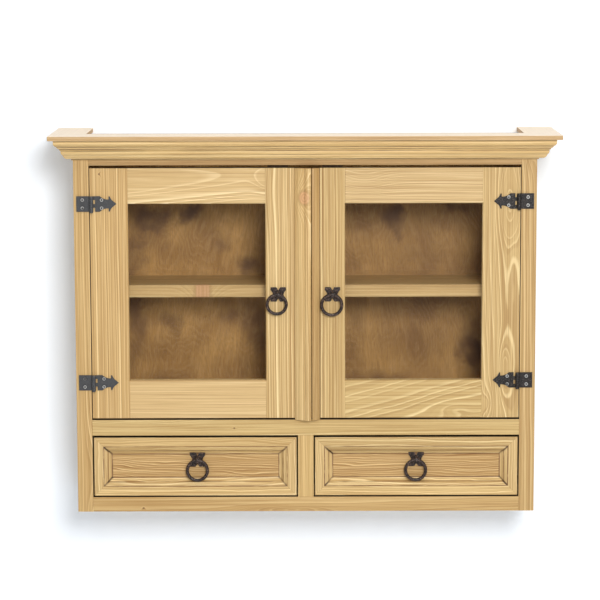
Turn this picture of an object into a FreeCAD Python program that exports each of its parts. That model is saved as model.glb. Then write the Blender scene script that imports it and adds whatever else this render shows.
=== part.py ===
import FreeCAD, Part
import math
import os
from types import SimpleNamespace

import Sketcher

# A glazed pine wall cabinet: an open carcass behind a face frame, a mitred cornice, two framed glass
# doors on arrowhead butt hinges, two mould-fronted drawers below, and four black iron ring pulls.
# Frame: +X to the right seen from the front, +Y towards the wall, +Z up. The origin is the middle of
# the bottom of the whole cabinet.

# Driving sizes, in millimetres
SIZES = {
    # Whole cabinet, over the cornice boards
    "overall_width": 1000.0,
    "overall_depth": 236.0,
    "overall_height": 753.0,
    "cornice_overhang": 45.5,
    # Cornice boards and the moulding below them
    "cornice_board_thickness": 9.0,
    "cornice_board_width": 69.6,
    "moulding_height": 40.5,
    "moulding_fillet_rise": 3.0,
    "moulding_fillet_reach": 3.0,
    "moulding_ovolo_rise": 8.9,
    "moulding_ovolo_foot": 11.3,
    "moulding_ovolo_head": 18.6,
    "moulding_frieze_rise": 7.9,
    "moulding_frieze_foot": 19.6,
    "moulding_frieze_head": 21.3,
    "moulding_low_bead_rise": 3.6,
    "moulding_low_bead_foot": 22.3,
    "moulding_low_bead_head": 24.4,
    "moulding_high_bead_rise": 4.7,
    "moulding_high_bead_foot": 25.4,
    "moulding_high_bead_head": 29.3,
    "moulding_crown_rise": 6.4,
    "moulding_crown_foot": 30.3,
    "moulding_crown_head": 35.0,
    # Face frame
    "frame_thickness": 20.0,
    "frame_stile_width": 30.3,
    "muntin_width": 31.0,
    "bottom_rail_height": 29.3,
    "drawer_opening_height": 125.0,
    "middle_rail_height": 31.5,
    "header_rail_height": 51.2,
    "tenon_thickness": 8.0,
    "tenon_shoulder": 6.0,
    "frame_tenon_length": 18.0,
    # Carcass behind the face frame
    "side_thickness": 18.0,
    "panel_thickness": 18.0,
    "base_thickness": 12.0,
    "back_thickness": 6.0,
    "back_rebate_width": 9.0,
    "top_panel_drop": 9.0,
    "shelf_thickness": 24.0,
    "shelf_setback": 35.0,
    "shelf_housing": 6.0,
    "divider_thickness": 18.0,
    "hanging_rail_height": 60.0,
    "hanging_rail_thickness": 16.0,
    "hanging_hole_radius": 3.25,
    "hanging_hole_spacing": 600.0,
    "guide_height": 20.0,
    "guide_gap": 1.0,
    "stop_block_width": 40.0,
    "stop_block_depth": 15.0,
    "stop_block_lap": 12.0,
    "stop_block_offset": 34.0,
    "stop_gap": 0.3,
    # Doors
    "front_recess": 0.5,
    "door_side_gap": 1.6,
    "door_top_gap": 5.5,
    "door_bottom_gap": 3.8,
    "meeting_gap": 1.5,
    "meeting_offset": 12.4,
    "door_thickness": 20.0,
    "door_hinge_stile_width": 73.9,
    "door_window_inner_edge": 78.3,
    "door_top_rail_height": 70.3,
    "door_bottom_rail_height": 75.6,
    "door_tenon_length": 30.0,
    "door_tenon_shoulder": 12.0,
    "window_arris": 2.0,
    "glass_rabbet_width": 8.0,
    "glass_rabbet_front": 10.0,
    "glass_thickness": 3.0,
    "glass_gap": 0.8,
    # Meeting moulding on the doors
    "astragal_left_reach": 21.1,
    "astragal_right_reach": 29.3,
    "astragal_edge": 3.5,
    "astragal_shoulder": 15.0,
    "astragal_reed_width": 13.1,
    "astragal_drop": 2.8,
    # Arrowhead butt hinges
    "hinge_height": 30.6,
    "hinge_below_lintel": 75.4,
    "hinge_above_sill": 75.6,
    "hinge_right_lift": 3.8,
    "hinge_axis_inset": 4.8,
    "hinge_axis_proud": 4.5,
    "hinge_leaf_thickness": 2.0,
    "knuckle_radius": 4.2,
    "knuckle_gap": 0.3,
    "knuckle_notch_gap": 0.5,
    "hinge_pin_radius": 2.0,
    "hinge_pin_clearance": 0.05,
    "hinge_pin_head_radius": 3.4,
    "hinge_pin_head_height": 2.0,
    "frame_leaf_reach": 29.6,
    "door_leaf_start": 7.3,
    "door_leaf_length": 41.8,
    "frame_screw_reach": 17.6,
    "door_screw_reach": 20.2,
    "hinge_screw_spacing": 16.0,
    # Hinge screws
    "screw_head_radius": 3.8,
    "screw_crown_radius": 3.0,
    "screw_head_height": 1.5,
    "screw_recess_radius": 1.9,
    "screw_recess_depth": 1.0,
    "screw_shank_radius": 1.6,
    "screw_length": 14.0,
    "screw_hole_clearance": 0.1,
    # Ring pulls
    "plate_half_width": 15.4,
    "plate_half_height": 14.2,
    "plate_thickness": 2.0,
    "plate_seat_gap": 0.3,
    "eye_radius": 6.8,
    "eye_width": 5.5,
    "eye_hole_radius": 4.4,
    "eye_standoff": 7.7,
    "eye_neck_height": 8.0,
    "stud_radius": 2.0,
    "stud_length": 11.0,
    "stud_clearance": 0.1,
    "ring_radius": 20.0,
    "ring_wire_radius": 3.2,
    "ring_drop": 0.3,
    "door_pull_drop": 1.9,
    "door_pull_left_reach": 53.4,
    "door_pull_right_reach": 53.4,
    "drawer_pull_height": 35.7,
    "drawer_pull_left_reach": 216.0,
    "drawer_pull_right_reach": 220.2,
    # Drawers
    "drawer_side_gap": 3.0,
    "drawer_top_gap": 4.2,
    "drawer_bottom_gap": 3.2,
    "drawer_front_thickness": 20.0,
    "drawer_quirk": 1.0,
    "drawer_ovolo_drop": 2.8,
    "drawer_panel_recess": 10.0,
    "drawer_panel_thickness": 6.0,
    "drawer_groove_depth": 6.0,
    "drawer_groove_gap": 0.4,
    "drawer_runner_gap": 0.3,
    "drawer_rear_gap": 6.0,
    "drawer_side_thickness": 10.0,
    "drawer_side_height": 108.0,
    "drawer_bottom_thickness": 4.0,
    "drawer_bottom_lift": 6.0,
    "drawer_bottom_groove": 5.0,
    # How far a cutting shape runs past the face that it starts from
    "overrun": 1.0,
}

# Outlines and curves as shares of the sizes that they follow
KNUCKLE_COUNT = 4
ARROW_SHARES = (
    (0.225, 1.0, 0.0),
    (0.541, 0.57, 0.55),
    (0.636, 0.57, 0.0),
    (0.640, 0.98, 0.0),
    (0.694, 0.96, 0.0),
    (0.794, 0.47, 0.45),
    (1.0, 0.0, 0.0),
)
PLATE_NOTCH_SHARE = 0.55
PLATE_SHARES = (
    (0.24, 1.0, 0.0),
    (0.97, 1.0, 0.0),
    (1.0, 0.62, 0.0),
    (0.66, 0.0, 1.2),
    (1.0, -0.62, 1.2),
    (0.97, -1.0, 0.0),
    (0.24, -1.0, 0.0),
    (0.0, -PLATE_NOTCH_SHARE, 0.0),
)
FLANK_RADIUS_SHARE = 1.6
REED_RADIUS_SHARE = 0.52
MOULDING_CURVE_SHARE = 0.8
DRAWER_BORDER_SHARE = 0.15
DRAWER_OVOLO_SHARE = 0.066
DRAWER_COVE_SHARE = 0.067
DRAWER_RADIUS_SHARE = 1.1
RING_SIZE_SHARES = {"door_left": 0.94, "door_right": 1.0, "drawer_left": 1.0, "drawer_right": 1.0}
RING_LEAN_DEGREES = {"door_left": 9.5, "door_right": 4.6, "drawer_left": 0.0, "drawer_right": 4.1}

doc = FreeCAD.newDocument("trastero_cabinet")
sheet = doc.addObject("Spreadsheet::Sheet", "Sizes")
for row, (alias, number) in enumerate(SIZES.items(), start=1):
    sheet.set(f"A{row}", alias)
    sheet.set(f"B{row}", str(number))
    sheet.setAlias(f"B{row}", alias)
doc.recompute()


class Size:
    """A length: its number, and the sheet expression that gives it."""

    def __init__(self, number, text):
        self.number = number
        self.text = text

    def __add__(self, other):
        return Size(self.number + other.number, f"({self.text} + {other.text})")

    def __sub__(self, other):
        return Size(self.number - other.number, f"({self.text} - {other.text})")

    def __mul__(self, factor):
        return Size(self.number * factor, f"({self.text} * {factor})")

    def __truediv__(self, factor):
        return Size(self.number / factor, f"({self.text} / {factor})")

    def __neg__(self):
        return Size(-self.number, f"(-{self.text})")


S = SimpleNamespace(**{alias: Size(number, f"Sizes.{alias}") for alias, number in SIZES.items()})
ZERO = Size(0.0, "0")
LEFT, RIGHT = -1, 1
SIDES = {"left": LEFT, "right": RIGHT}
TURNS = {
    "X": FreeCAD.Rotation(FreeCAD.Vector(0, 1, 0), 90),
    "Y": FreeCAD.Rotation(FreeCAD.Vector(1, 0, 0), -90),
    "-Y": FreeCAD.Rotation(FreeCAD.Vector(1, 0, 0), 90),
    "Z": FreeCAD.Rotation(),
}
nodes = []


def sided(side, size):
    """A distance outward from the middle, as an X on the given side."""
    return size if side == RIGHT else -size


def across(side, near, far):
    """The X span between two outward distances on the given side."""
    return (near, far) if side == RIGHT else (-far, -near)


def around(middle, half):
    return (middle - half, middle + half)


def place(item, x, y, z):
    for axis, size in (("x", x), ("y", y), ("z", z)):
        item.setExpression(f"Placement.Base.{axis}", size.text)


def box(name, x, y, z):
    """A block from pairs of sizes, low and high along each axis."""
    item = doc.addObject("Part::Box", name)
    for edge, span in (("Length", x), ("Width", y), ("Height", z)):
        item.setExpression(edge, (span[1] - span[0]).text)
    place(item, x[0], y[0], z[0])
    return item


def rod(name, radius, length, x, y, z, axis):
    """A round bar that starts at a point and runs along an axis."""
    item = doc.addObject("Part::Cylinder", name)
    item.Placement = FreeCAD.Placement(FreeCAD.Vector(), TURNS[axis])
    item.setExpression("Radius", radius.text)
    item.setExpression("Height", length.text)
    place(item, x, y, z)
    return item


def fuse(name, pieces):
    item = doc.addObject("Part::MultiFuse", name)
    item.Shapes = pieces
    return item


def cut(name, base, tools):
    item = doc.addObject("Part::Cut", name)
    item.Base = base
    item.Tool = tools[0] if len(tools) == 1 else fuse(f"{name}_tools", tools)
    return item


def common(name, first, second):
    item = doc.addObject("Part::Common", name)
    item.Base = first
    item.Tool = second
    return item


def node(item, label):
    """Marks an object as a finished piece and gives it the piece's name."""
    item.Label = label
    nodes.append(item)
    return item


def group(label, pieces):
    """Several separate solids of one kind under one name."""
    item = doc.addObject("Part::Compound", f"{label}_group")
    item.Links = pieces
    return node(item, label)


def line_to(u, v):
    return SimpleNamespace(u=u, v=v, radius=None, turn=0)


def arc_to(u, v, radius, turn):
    """A round stretch that ends at u, v. A turn of 1 is anticlockwise, and -1 clockwise."""
    return SimpleNamespace(u=u, v=v, radius=radius, turn=turn)


def arc_geometry(start, end, radius, turn):
    """The shorter arc between two points with the given radius."""
    chord = end - start
    half = chord.Length / 2
    height = math.sqrt(radius * radius - half * half)
    left = FreeCAD.Vector(-chord.y, chord.x, 0).normalize()
    centre = start + chord * 0.5 + left * (height * turn)
    first, last = (start, end) if turn > 0 else (end, start)
    angles = [math.atan2(point.y - centre.y, point.x - centre.x) for point in (first, last)]
    if angles[1] < angles[0]:
        angles[1] += 2 * math.pi
    circle = Part.Circle(centre, FreeCAD.Vector(0, 0, 1), radius)
    return Part.ArcOfCircle(circle, angles[0], angles[1])


def draw(sketch, outline):
    """Draws a closed outline and ties every corner and radius to its sizes."""
    ends = []
    for index, step in enumerate(outline):
        before = outline[index - 1]
        start = FreeCAD.Vector(before.u.number, before.v.number, 0)
        end = FreeCAD.Vector(step.u.number, step.v.number, 0)
        if step.radius is None:
            sketch.addGeometry(Part.LineSegment(start, end), False)
            ends.append((1, 2))
        else:
            sketch.addGeometry(arc_geometry(start, end, step.radius.number, step.turn), False)
            ends.append((1, 2) if step.turn > 0 else (2, 1))
    for index, step in enumerate(outline):
        following = (index + 1) % len(outline)
        joint = Sketcher.Constraint("Coincident", index, ends[index][1], following, ends[following][0])
        sketch.addConstraint(joint)
        for kind, name, size in (("DistanceX", "u", step.u), ("DistanceY", "v", step.v)):
            place_at = Sketcher.Constraint(kind, -1, 1, index, ends[index][1], size.number)
            number = sketch.addConstraint(place_at)
            sketch.renameConstraint(number, f"{name}{index}")
            sketch.setExpression(f"Constraints.{name}{index}", size.text)
        if step.radius is not None:
            number = sketch.addConstraint(Sketcher.Constraint("Radius", index, step.radius.number))
            sketch.renameConstraint(number, f"radius{index}")
            sketch.setExpression(f"Constraints.radius{index}", step.radius.text)


def prism(name, plane, outline, length, x, y, z):
    """An outline on XY, XZ or YZ, padded towards +Z, -Y or +X and set at a point."""
    body = doc.addObject("PartDesign::Body", name)
    sketch = body.newObject("Sketcher::SketchObject", f"{name}_outline")
    origin_plane = [item for item in body.Origin.OriginFeatures if item.Role == f"{plane}_Plane"][0]
    sketch.AttachmentSupport = [(origin_plane, "")]
    sketch.MapMode = "FlatFace"
    draw(sketch, outline)
    pad = body.newObject("PartDesign::Pad", f"{name}_pad")
    pad.Profile = sketch
    pad.setExpression("Length", length.text)
    sketch.Visibility = False
    place(body, x, y, z)
    return body


# Levels and planes that the pieces share
carcass_half = S.overall_width / 2 - S.cornice_overhang
side_inner = carcass_half - S.side_thickness
face = S.cornice_overhang - S.overall_depth / 2
wall = S.overall_depth / 2
frame_back = face + S.frame_thickness
back_front = wall - S.back_thickness
opening_edge = carcass_half - S.frame_stile_width
drawer_floor = S.bottom_rail_height
drawer_ceiling = drawer_floor + S.drawer_opening_height
door_sill = drawer_ceiling + S.middle_rail_height
boards_underside = S.overall_height - S.cornice_board_thickness
door_lintel = boards_underside - S.header_rail_height
door_middle = (door_sill + door_lintel) / 2
door_pull_level = door_middle - S.door_pull_drop
drawer_border = S.drawer_opening_height * DRAWER_BORDER_SHARE
drawer_ovolo = S.drawer_opening_height * DRAWER_OVOLO_SHARE
drawer_cove = S.drawer_opening_height * DRAWER_COVE_SHARE
drawer_member_width = drawer_border + drawer_ovolo + drawer_cove
drawer_pull_level = drawer_floor + S.drawer_bottom_gap + drawer_member_width + S.drawer_pull_height
top_panel_top = boards_underside - S.top_panel_drop
top_panel_underside = top_panel_top - S.panel_thickness
floor_underside = door_sill - S.panel_thickness
shelf_z = around(door_middle, S.shelf_thickness / 2)
shelf_front = face + S.shelf_setback
hinge_axis = opening_edge - S.hinge_axis_inset
hinge_axis_y = face - S.hinge_axis_proud
hinge_half = S.hinge_height / 2
HINGE_LEVELS = {
    "upper": door_lintel - S.hinge_below_lintel,
    "lower": door_sill + S.hinge_above_sill,
}


def hinge_level(side, which):
    lift = S.hinge_right_lift if side == RIGHT else ZERO
    return HINGE_LEVELS[which] + lift


def screw_levels(side, which):
    middle = hinge_level(side, which)
    return around(middle, S.hinge_screw_spacing / 2)


def screw_holes(name, side, reach, y):
    """The holes of one side's hinge screws, through a leaf and into the wood behind it."""
    radius = S.screw_shank_radius + S.screw_hole_clearance
    length = S.screw_length + S.overrun
    x = sided(side, hinge_axis + reach)
    holes = []
    for which in HINGE_LEVELS:
        for level in screw_levels(side, which):
            holes.append(rod(f"{name}_{which}", radius, length, x, y - S.overrun, level, "Y"))
    return holes


# Face frame: two stiles, three rails tenoned between them, and the muntin between the drawers
def tenon_bar(name, half_length, z, y, shoulder):
    """A bar through a rail that stands out at both ends as its tenons."""
    thick = around((y[0] + y[1]) / 2, S.tenon_thickness / 2)
    return box(name, (-half_length, half_length), thick, (z[0] + shoulder, z[1] - shoulder))


def face_frame():
    depth = (face, frame_back)
    rails = {
        "frame_bottom_rail": (ZERO, drawer_floor),
        "frame_middle_rail": (drawer_ceiling, door_sill),
        "frame_header_rail": (door_lintel, boards_underside),
    }
    tenoned = opening_edge + S.frame_tenon_length
    for label, z in rails.items():
        blank = box(f"{label}_blank", (-opening_edge, opening_edge), depth, z)
        bar = tenon_bar(f"{label}_tenons", tenoned, z, depth, S.tenon_shoulder)
        node(fuse(f"{label}_piece", [blank, bar]), label)
    for name, side in SIDES.items():
        label = f"frame_stile_{name}"
        x = across(side, opening_edge, carcass_half)
        blank = box(f"{label}_blank", x, depth, (ZERO, boards_underside))
        hollows = [tenon_bar(f"{label}_mortise", tenoned, z, depth, S.tenon_shoulder) for z in rails.values()]
        hollows += screw_holes(f"{label}_hole", side, S.frame_screw_reach, face)
        node(cut(f"{label}_piece", blank, hollows), label)
    half = S.muntin_width / 2
    node(box("frame_muntin_piece", (-half, half), depth, (drawer_floor, drawer_ceiling)), "frame_muntin")


# Carcass: two sides rebated for the back and housed for the shelf, and the panels between them
def carcass():
    depth = (frame_back, wall)
    for name, side in SIDES.items():
        label = f"side_panel_{name}"
        blank = box(f"{label}_blank", across(side, side_inner, carcass_half), depth, (ZERO, boards_underside))
        rebate = box(
            f"{label}_rebate",
            across(side, side_inner - S.overrun, side_inner + S.back_rebate_width),
            (back_front, wall + S.overrun),
            (-S.overrun, boards_underside + S.overrun),
        )
        housing = box(
            f"{label}_housing",
            across(side, side_inner - S.overrun, side_inner + S.shelf_housing),
            (shelf_front, back_front),
            shelf_z,
        )
        node(cut(f"{label}_piece", blank, [rebate, housing]), label)
    inside = (-side_inner, side_inner)
    behind = (frame_back, back_front)
    panels = {
        "top_panel": (top_panel_underside, top_panel_top),
        "cupboard_floor": (floor_underside, door_sill),
        "base_panel": (drawer_floor - S.base_thickness, drawer_floor),
    }
    for label, z in panels.items():
        node(box(f"{label}_piece", inside, behind, z), label)
    housed = side_inner + S.shelf_housing
    node(box("shelf_piece", (-housed, housed), (shelf_front, back_front), shelf_z), "shelf")
    half = S.divider_thickness / 2
    divider_z = (drawer_floor, floor_underside)
    node(box("drawer_divider_piece", (-half, half), behind, divider_z), "drawer_divider")


# Back of thin board in the rebates, and the rail in front of it that the cabinet hangs from
def back_and_hanging_rail():
    rail_z = (top_panel_underside - S.hanging_rail_height, top_panel_underside)
    rail_front = back_front - S.hanging_rail_thickness
    middle = (rail_z[0] + rail_z[1]) / 2
    length = S.hanging_rail_thickness + S.back_thickness + S.overrun * 2
    reach = S.hanging_hole_spacing / 2
    holes = [
        rod("hanging_hole", S.hanging_hole_radius, length, x, rail_front - S.overrun, middle, "Y")
        for x in (-reach, reach)
    ]
    rebated = side_inner + S.back_rebate_width
    back = box("back_panel_blank", (-rebated, rebated), (back_front, wall), (ZERO, top_panel_top))
    rail = box("hanging_rail_blank", (-side_inner, side_inner), (rail_front, back_front), rail_z)
    node(cut("back_panel_piece", back, holes), "back_panel")
    node(cut("hanging_rail_piece", rail, holes), "hanging_rail")


# Strips beside the drawers that keep them straight, and the blocks that the closed doors rest on
def guides_and_stops():
    half_divider = S.divider_thickness / 2
    inner_edge = S.muntin_width / 2 + S.drawer_side_gap - S.guide_gap
    outer_edge = opening_edge - S.drawer_side_gap + S.guide_gap
    height = (drawer_floor, drawer_floor + S.guide_height)
    strips = []
    for name, side in SIDES.items():
        for place_name, near, far in (("inner", half_divider, inner_edge), ("outer", outer_edge, side_inner)):
            x = across(side, near, far)
            strips.append(box(f"guide_{name}_{place_name}", x, (frame_back, back_front), height))
    group("drawer_guides", strips)
    door_back = face + S.front_recess + S.door_thickness
    depth = (door_back + S.stop_gap, door_back + S.stop_gap + S.stop_block_depth)
    door_head = door_lintel - S.door_top_gap
    blocks = []
    for name, side in SIDES.items():
        x = across(side, S.stop_block_offset, S.stop_block_offset + S.stop_block_width)
        blocks.append(box(f"stop_{name}", x, depth, (door_head - S.stop_block_lap, top_panel_underside)))
    group("door_stop_blocks", blocks)


# Cornice: three mitred boards on top, and below them three mitred lengths of crown moulding
def mitre_plan(name, side, width, z, height):
    """A plan of one cornice length, mitred at 45 degrees at its front corners."""
    outer = carcass_half + S.cornice_overhang
    front = face - S.cornice_overhang
    if side is None:
        corners = [
            (-outer, front),
            (outer, front),
            (outer - width, front + width),
            (width - outer, front + width),
        ]
    else:
        corners = [
            (sided(side, outer), front),
            (sided(side, outer), wall),
            (sided(side, outer - width), wall),
            (sided(side, outer - width), front + width),
        ]
    return prism(name, "XY", [line_to(*corner) for corner in corners], height, ZERO, ZERO, z)


def moulding_outline(mirror):
    """The crown moulding's section: projection from the carcass, and height above its foot."""
    members = [
        (S.moulding_ovolo_rise, S.moulding_ovolo_foot, S.moulding_ovolo_head),
        (S.moulding_frieze_rise, S.moulding_frieze_foot, S.moulding_frieze_head),
        (S.moulding_low_bead_rise, S.moulding_low_bead_foot, S.moulding_low_bead_head),
        (S.moulding_high_bead_rise, S.moulding_high_bead_foot, S.moulding_high_bead_head),
        (S.moulding_crown_rise, S.moulding_crown_foot, S.moulding_crown_head),
    ]
    level = S.moulding_fillet_rise
    steps = [(ZERO, ZERO, None), (S.moulding_fillet_reach, ZERO, None), (S.moulding_fillet_reach, level, None)]
    for rise, foot, head in members:
        steps.append((foot, level, None))
        level = level + rise
        steps.append((head, level, (rise + head - foot) * MOULDING_CURVE_SHARE))
    steps.append((S.moulding_crown_head, S.moulding_height, None))
    steps.append((ZERO, S.moulding_height, None))
    outline = []
    for reach, height, radius in steps:
        u = reach if mirror == RIGHT else -reach
        outline.append(line_to(u, height) if radius is None else arc_to(u, height, radius, mirror))
    return outline


def cornice():
    foot = boards_underside - S.moulding_height
    outer = carcass_half + S.cornice_overhang
    front = face - S.cornice_overhang
    lengths = {"front": None, "left": LEFT, "right": RIGHT}
    for name, side in lengths.items():
        label = f"cornice_board_{name}"
        width = S.cornice_board_width
        node(mitre_plan(label, side, width, boards_underside, S.cornice_board_thickness), label)
    for name, side in lengths.items():
        label = f"cornice_moulding_{name}"
        plan = mitre_plan(f"{label}_plan", side, S.cornice_overhang, foot, S.moulding_height)
        if side is None:
            run = prism(f"{label}_run", "YZ", moulding_outline(LEFT), outer * 2, -outer, face, foot)
        else:
            x = sided(side, carcass_half)
            run = prism(f"{label}_run", "XZ", moulding_outline(side), wall - front, x, wall, foot)
        node(common(f"{label}_piece", run, plan), label)


# Doors: a tenoned frame round one pane, glazing beads behind it, and half of the meeting moulding
def door_meeting_edge(side):
    """The door's meeting edge, measured outward on its own side."""
    offset = S.meeting_offset if side == RIGHT else -S.meeting_offset
    return offset + S.meeting_gap / 2


def door(name, side, pull_reach):
    front = face + S.front_recess
    back = front + S.door_thickness
    foot = door_sill + S.door_bottom_gap
    head = door_lintel - S.door_top_gap
    outer = opening_edge - S.door_side_gap
    meeting = door_meeting_edge(side)
    window_x = (S.door_window_inner_edge, outer - S.door_hinge_stile_width)
    window_z = (foot + S.door_bottom_rail_height, head - S.door_top_rail_height)
    rabbet_front = front + S.glass_rabbet_front
    rabbet_x = (window_x[0] - S.glass_rabbet_width, window_x[1] + S.glass_rabbet_width)
    rabbet_z = (window_z[0] - S.glass_rabbet_width, window_z[1] + S.glass_rabbet_width)
    depth = (front, back)

    rabbet = box(f"door_{name}_rabbet", across(side, *rabbet_x), (rabbet_front, back + S.overrun), rabbet_z)
    arris = doc.addObject("Part::Wedge", f"door_{name}_arris")
    low_x, high_x = across(side, *window_x)
    wide = S.window_arris + S.overrun
    spans = {
        "Xmin": low_x - wide,
        "Xmax": high_x + wide,
        "X2min": low_x,
        "X2max": high_x,
        "Zmin": window_z[0] - wide,
        "Zmax": window_z[1] + wide,
        "Z2min": window_z[0],
        "Z2max": window_z[1],
        "Ymin": front - S.overrun,
        "Ymax": front + S.window_arris,
    }
    for key, size in spans.items():
        arris.setExpression(key, size.text)

    rails = {"bottom": (foot, window_z[0]), "top": (window_z[1], head)}
    tenoned = across(side, window_x[0] - S.door_tenon_length, window_x[1] + S.door_tenon_length)
    middle = (front + back) / 2
    thick = around(middle, S.tenon_thickness / 2)
    bars = {}
    for which, z in rails.items():
        tall = (z[0] + S.door_tenon_shoulder, z[1] - S.door_tenon_shoulder)
        bars[which] = box(f"door_{name}_{which}_tenons", tenoned, thick, tall)
        blank = box(f"door_{name}_{which}_blank", across(side, *window_x), depth, z)
        moulded = cut(f"door_{name}_{which}_moulded", blank, [rabbet, arris])
        node(fuse(f"door_{name}_{which}_piece", [moulded, bars[which]]), f"door_{name}_{which}_rail")

    stud_hole = rod(
        f"door_{name}_stud_hole",
        S.stud_radius + S.stud_clearance,
        S.stud_length + S.overrun,
        sided(side, pull_reach),
        front - S.overrun,
        door_pull_level,
        "Y",
    )
    stile_spans = {"hinge": (window_x[1], outer), "lock": (meeting, window_x[0])}
    stile_holes = {
        "hinge": screw_holes(f"door_{name}_hole", side, -S.door_screw_reach, front),
        "lock": [stud_hole],
    }
    for which, span in stile_spans.items():
        blank = box(f"door_{name}_{which}_blank", across(side, *span), depth, (foot, head))
        tools = [rabbet, arris, *bars.values(), *stile_holes[which]]
        node(cut(f"door_{name}_{which}_piece", blank, tools), f"door_{name}_{which}_stile")

    glass_back = rabbet_front + S.glass_thickness
    glass = box(
        f"door_{name}_pane",
        across(side, rabbet_x[0] + S.glass_gap, rabbet_x[1] - S.glass_gap),
        (rabbet_front, glass_back),
        (rabbet_z[0] + S.glass_gap, rabbet_z[1] - S.glass_gap),
    )
    node(glass, f"door_{name}_glass")
    bead_depth = (glass_back, back)
    strips = [
        box(f"door_{name}_bead_low", across(side, *rabbet_x), bead_depth, (rabbet_z[0], window_z[0])),
        box(f"door_{name}_bead_high", across(side, *rabbet_x), bead_depth, (window_z[1], rabbet_z[1])),
        box(f"door_{name}_bead_inner", across(side, rabbet_x[0], window_x[0]), bead_depth, window_z),
        box(f"door_{name}_bead_outer", across(side, window_x[1], rabbet_x[1]), bead_depth, window_z),
    ]
    group(f"door_{name}_glazing_beads", strips)

    label = f"door_{name}_meeting_moulding"
    height = head - foot + S.astragal_drop
    node(prism(label, "XY", astragal_outline(side), height, ZERO, front, foot - S.astragal_drop), label)


def astragal_outline(side):
    """The plan of a meeting moulding: a swelling flank, and on the left door the reed beside it."""
    edge = sided(side, door_meeting_edge(side))
    if side == RIGHT:
        outer = S.astragal_right_reach
        radius = (outer - edge) * FLANK_RADIUS_SHARE
        return [
            line_to(edge, ZERO),
            line_to(edge, -S.astragal_shoulder),
            arc_to(outer, -S.astragal_edge, radius, 1),
            line_to(outer, ZERO),
        ]
    outer = -S.astragal_left_reach
    reed = edge - S.astragal_reed_width
    radius = (reed - outer) * FLANK_RADIUS_SHARE
    return [
        line_to(outer, ZERO),
        line_to(outer, -S.astragal_edge),
        arc_to(reed, -S.astragal_shoulder, radius, 1),
        arc_to(edge, -S.astragal_shoulder, S.astragal_reed_width * REED_RADIUS_SHARE, 1),
        line_to(edge, ZERO),
    ]


# Arrowhead butt hinges: a plain leaf on the stile, a barbed leaf on the door, and a headed pin. The same
# hinge is turned over for the right door, so there the lowest knuckle is the door's.
DOOR_KNUCKLES = {LEFT: (1, 3), RIGHT: (0, 2)}


def knuckle_span(level, index):
    pitch = S.hinge_height / KNUCKLE_COUNT
    low = level - hinge_half + pitch * index
    return (low + S.knuckle_gap / 2, low + pitch - S.knuckle_gap / 2)


def knuckle(name, side, span):
    x = sided(side, hinge_axis)
    return rod(name, S.knuckle_radius, span[1] - span[0], x, hinge_axis_y, span[0], "Z")


def pin_bore(name, side, level):
    radius = S.hinge_pin_radius + S.hinge_pin_clearance
    low = level - hinge_half - S.overrun
    length = S.hinge_height + S.overrun * 2
    return rod(name, radius, length, sided(side, hinge_axis), hinge_axis_y, low, "Z")


def frame_leaf(name, side, which, holes):
    """The plain leaf, notched where the door's knuckles turn."""
    level = hinge_level(side, which)
    plate = box(
        f"{name}_plate",
        across(side, hinge_axis, hinge_axis + S.frame_leaf_reach),
        (face - S.hinge_leaf_thickness, face),
        around(level, hinge_half),
    )
    notch_x = across(side, hinge_axis - S.overrun, hinge_axis + S.knuckle_radius + S.knuckle_notch_gap)
    notch_y = (face - S.hinge_leaf_thickness - S.overrun, face + S.overrun)
    notches = []
    for index in DOOR_KNUCKLES[side]:
        span = knuckle_span(level, index)
        low = span[0] - (S.overrun if index == 0 else S.knuckle_gap)
        high = span[1] + (S.overrun if index == KNUCKLE_COUNT - 1 else S.knuckle_gap)
        notches.append(box(f"{name}_notch", notch_x, notch_y, (low, high)))
    notched = cut(f"{name}_notched", plate, notches + holes)
    own = [index for index in range(KNUCKLE_COUNT) if index not in DOOR_KNUCKLES[side]]
    spans = [knuckle_span(level, index) for index in own]
    rolled = fuse(f"{name}_rolled", [notched, *[knuckle(f"{name}_knuckle", side, span) for span in spans]])
    return cut(f"{name}_leaf", rolled, [pin_bore(f"{name}_bore", side, level)])


def arrow_outline(side):
    """The barbed leaf seen from the front, from its square end to its point and back."""
    tall = S.hinge_height / 2
    upper = [(S.door_leaf_start, tall, None)]
    for along, height, curve in ARROW_SHARES:
        radius = S.door_leaf_length * curve if curve else None
        upper.append((S.door_leaf_start + S.door_leaf_length * along, tall * height, radius))
    outline = []
    for reach, height, radius in upper:
        u = -sided(side, reach)
        outline.append(line_to(u, height) if radius is None else arc_to(u, height, radius, -side))
    lower = upper[:-1]
    radius_after = [step[2] for step in upper[1:]]
    for (reach, height, _), radius in zip(reversed(lower), reversed(radius_after)):
        u = -sided(side, reach)
        outline.append(line_to(u, -height) if radius is None else arc_to(u, -height, radius, -side))
    return outline


def door_leaf(name, side, which, holes):
    """The barbed leaf on the door's face, joined by tongues to the knuckles that turn with it."""
    level = hinge_level(side, which)
    front = face + S.front_recess
    plate = prism(
        f"{name}_arrow",
        "XZ",
        arrow_outline(side),
        S.hinge_leaf_thickness,
        sided(side, hinge_axis),
        front,
        level,
    )
    pierced = cut(f"{name}_pierced", plate, holes)
    pieces = [pierced]
    tongue_x = across(side, hinge_axis - S.door_leaf_start - S.overrun, hinge_axis)
    for index in DOOR_KNUCKLES[side]:
        span = knuckle_span(level, index)
        pieces.append(knuckle(f"{name}_knuckle", side, span))
        pieces.append(box(f"{name}_tongue", tongue_x, (front - S.hinge_leaf_thickness, front), span))
    return cut(f"{name}_leaf", fuse(f"{name}_rolled", pieces), [pin_bore(f"{name}_bore", side, level)])


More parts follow.
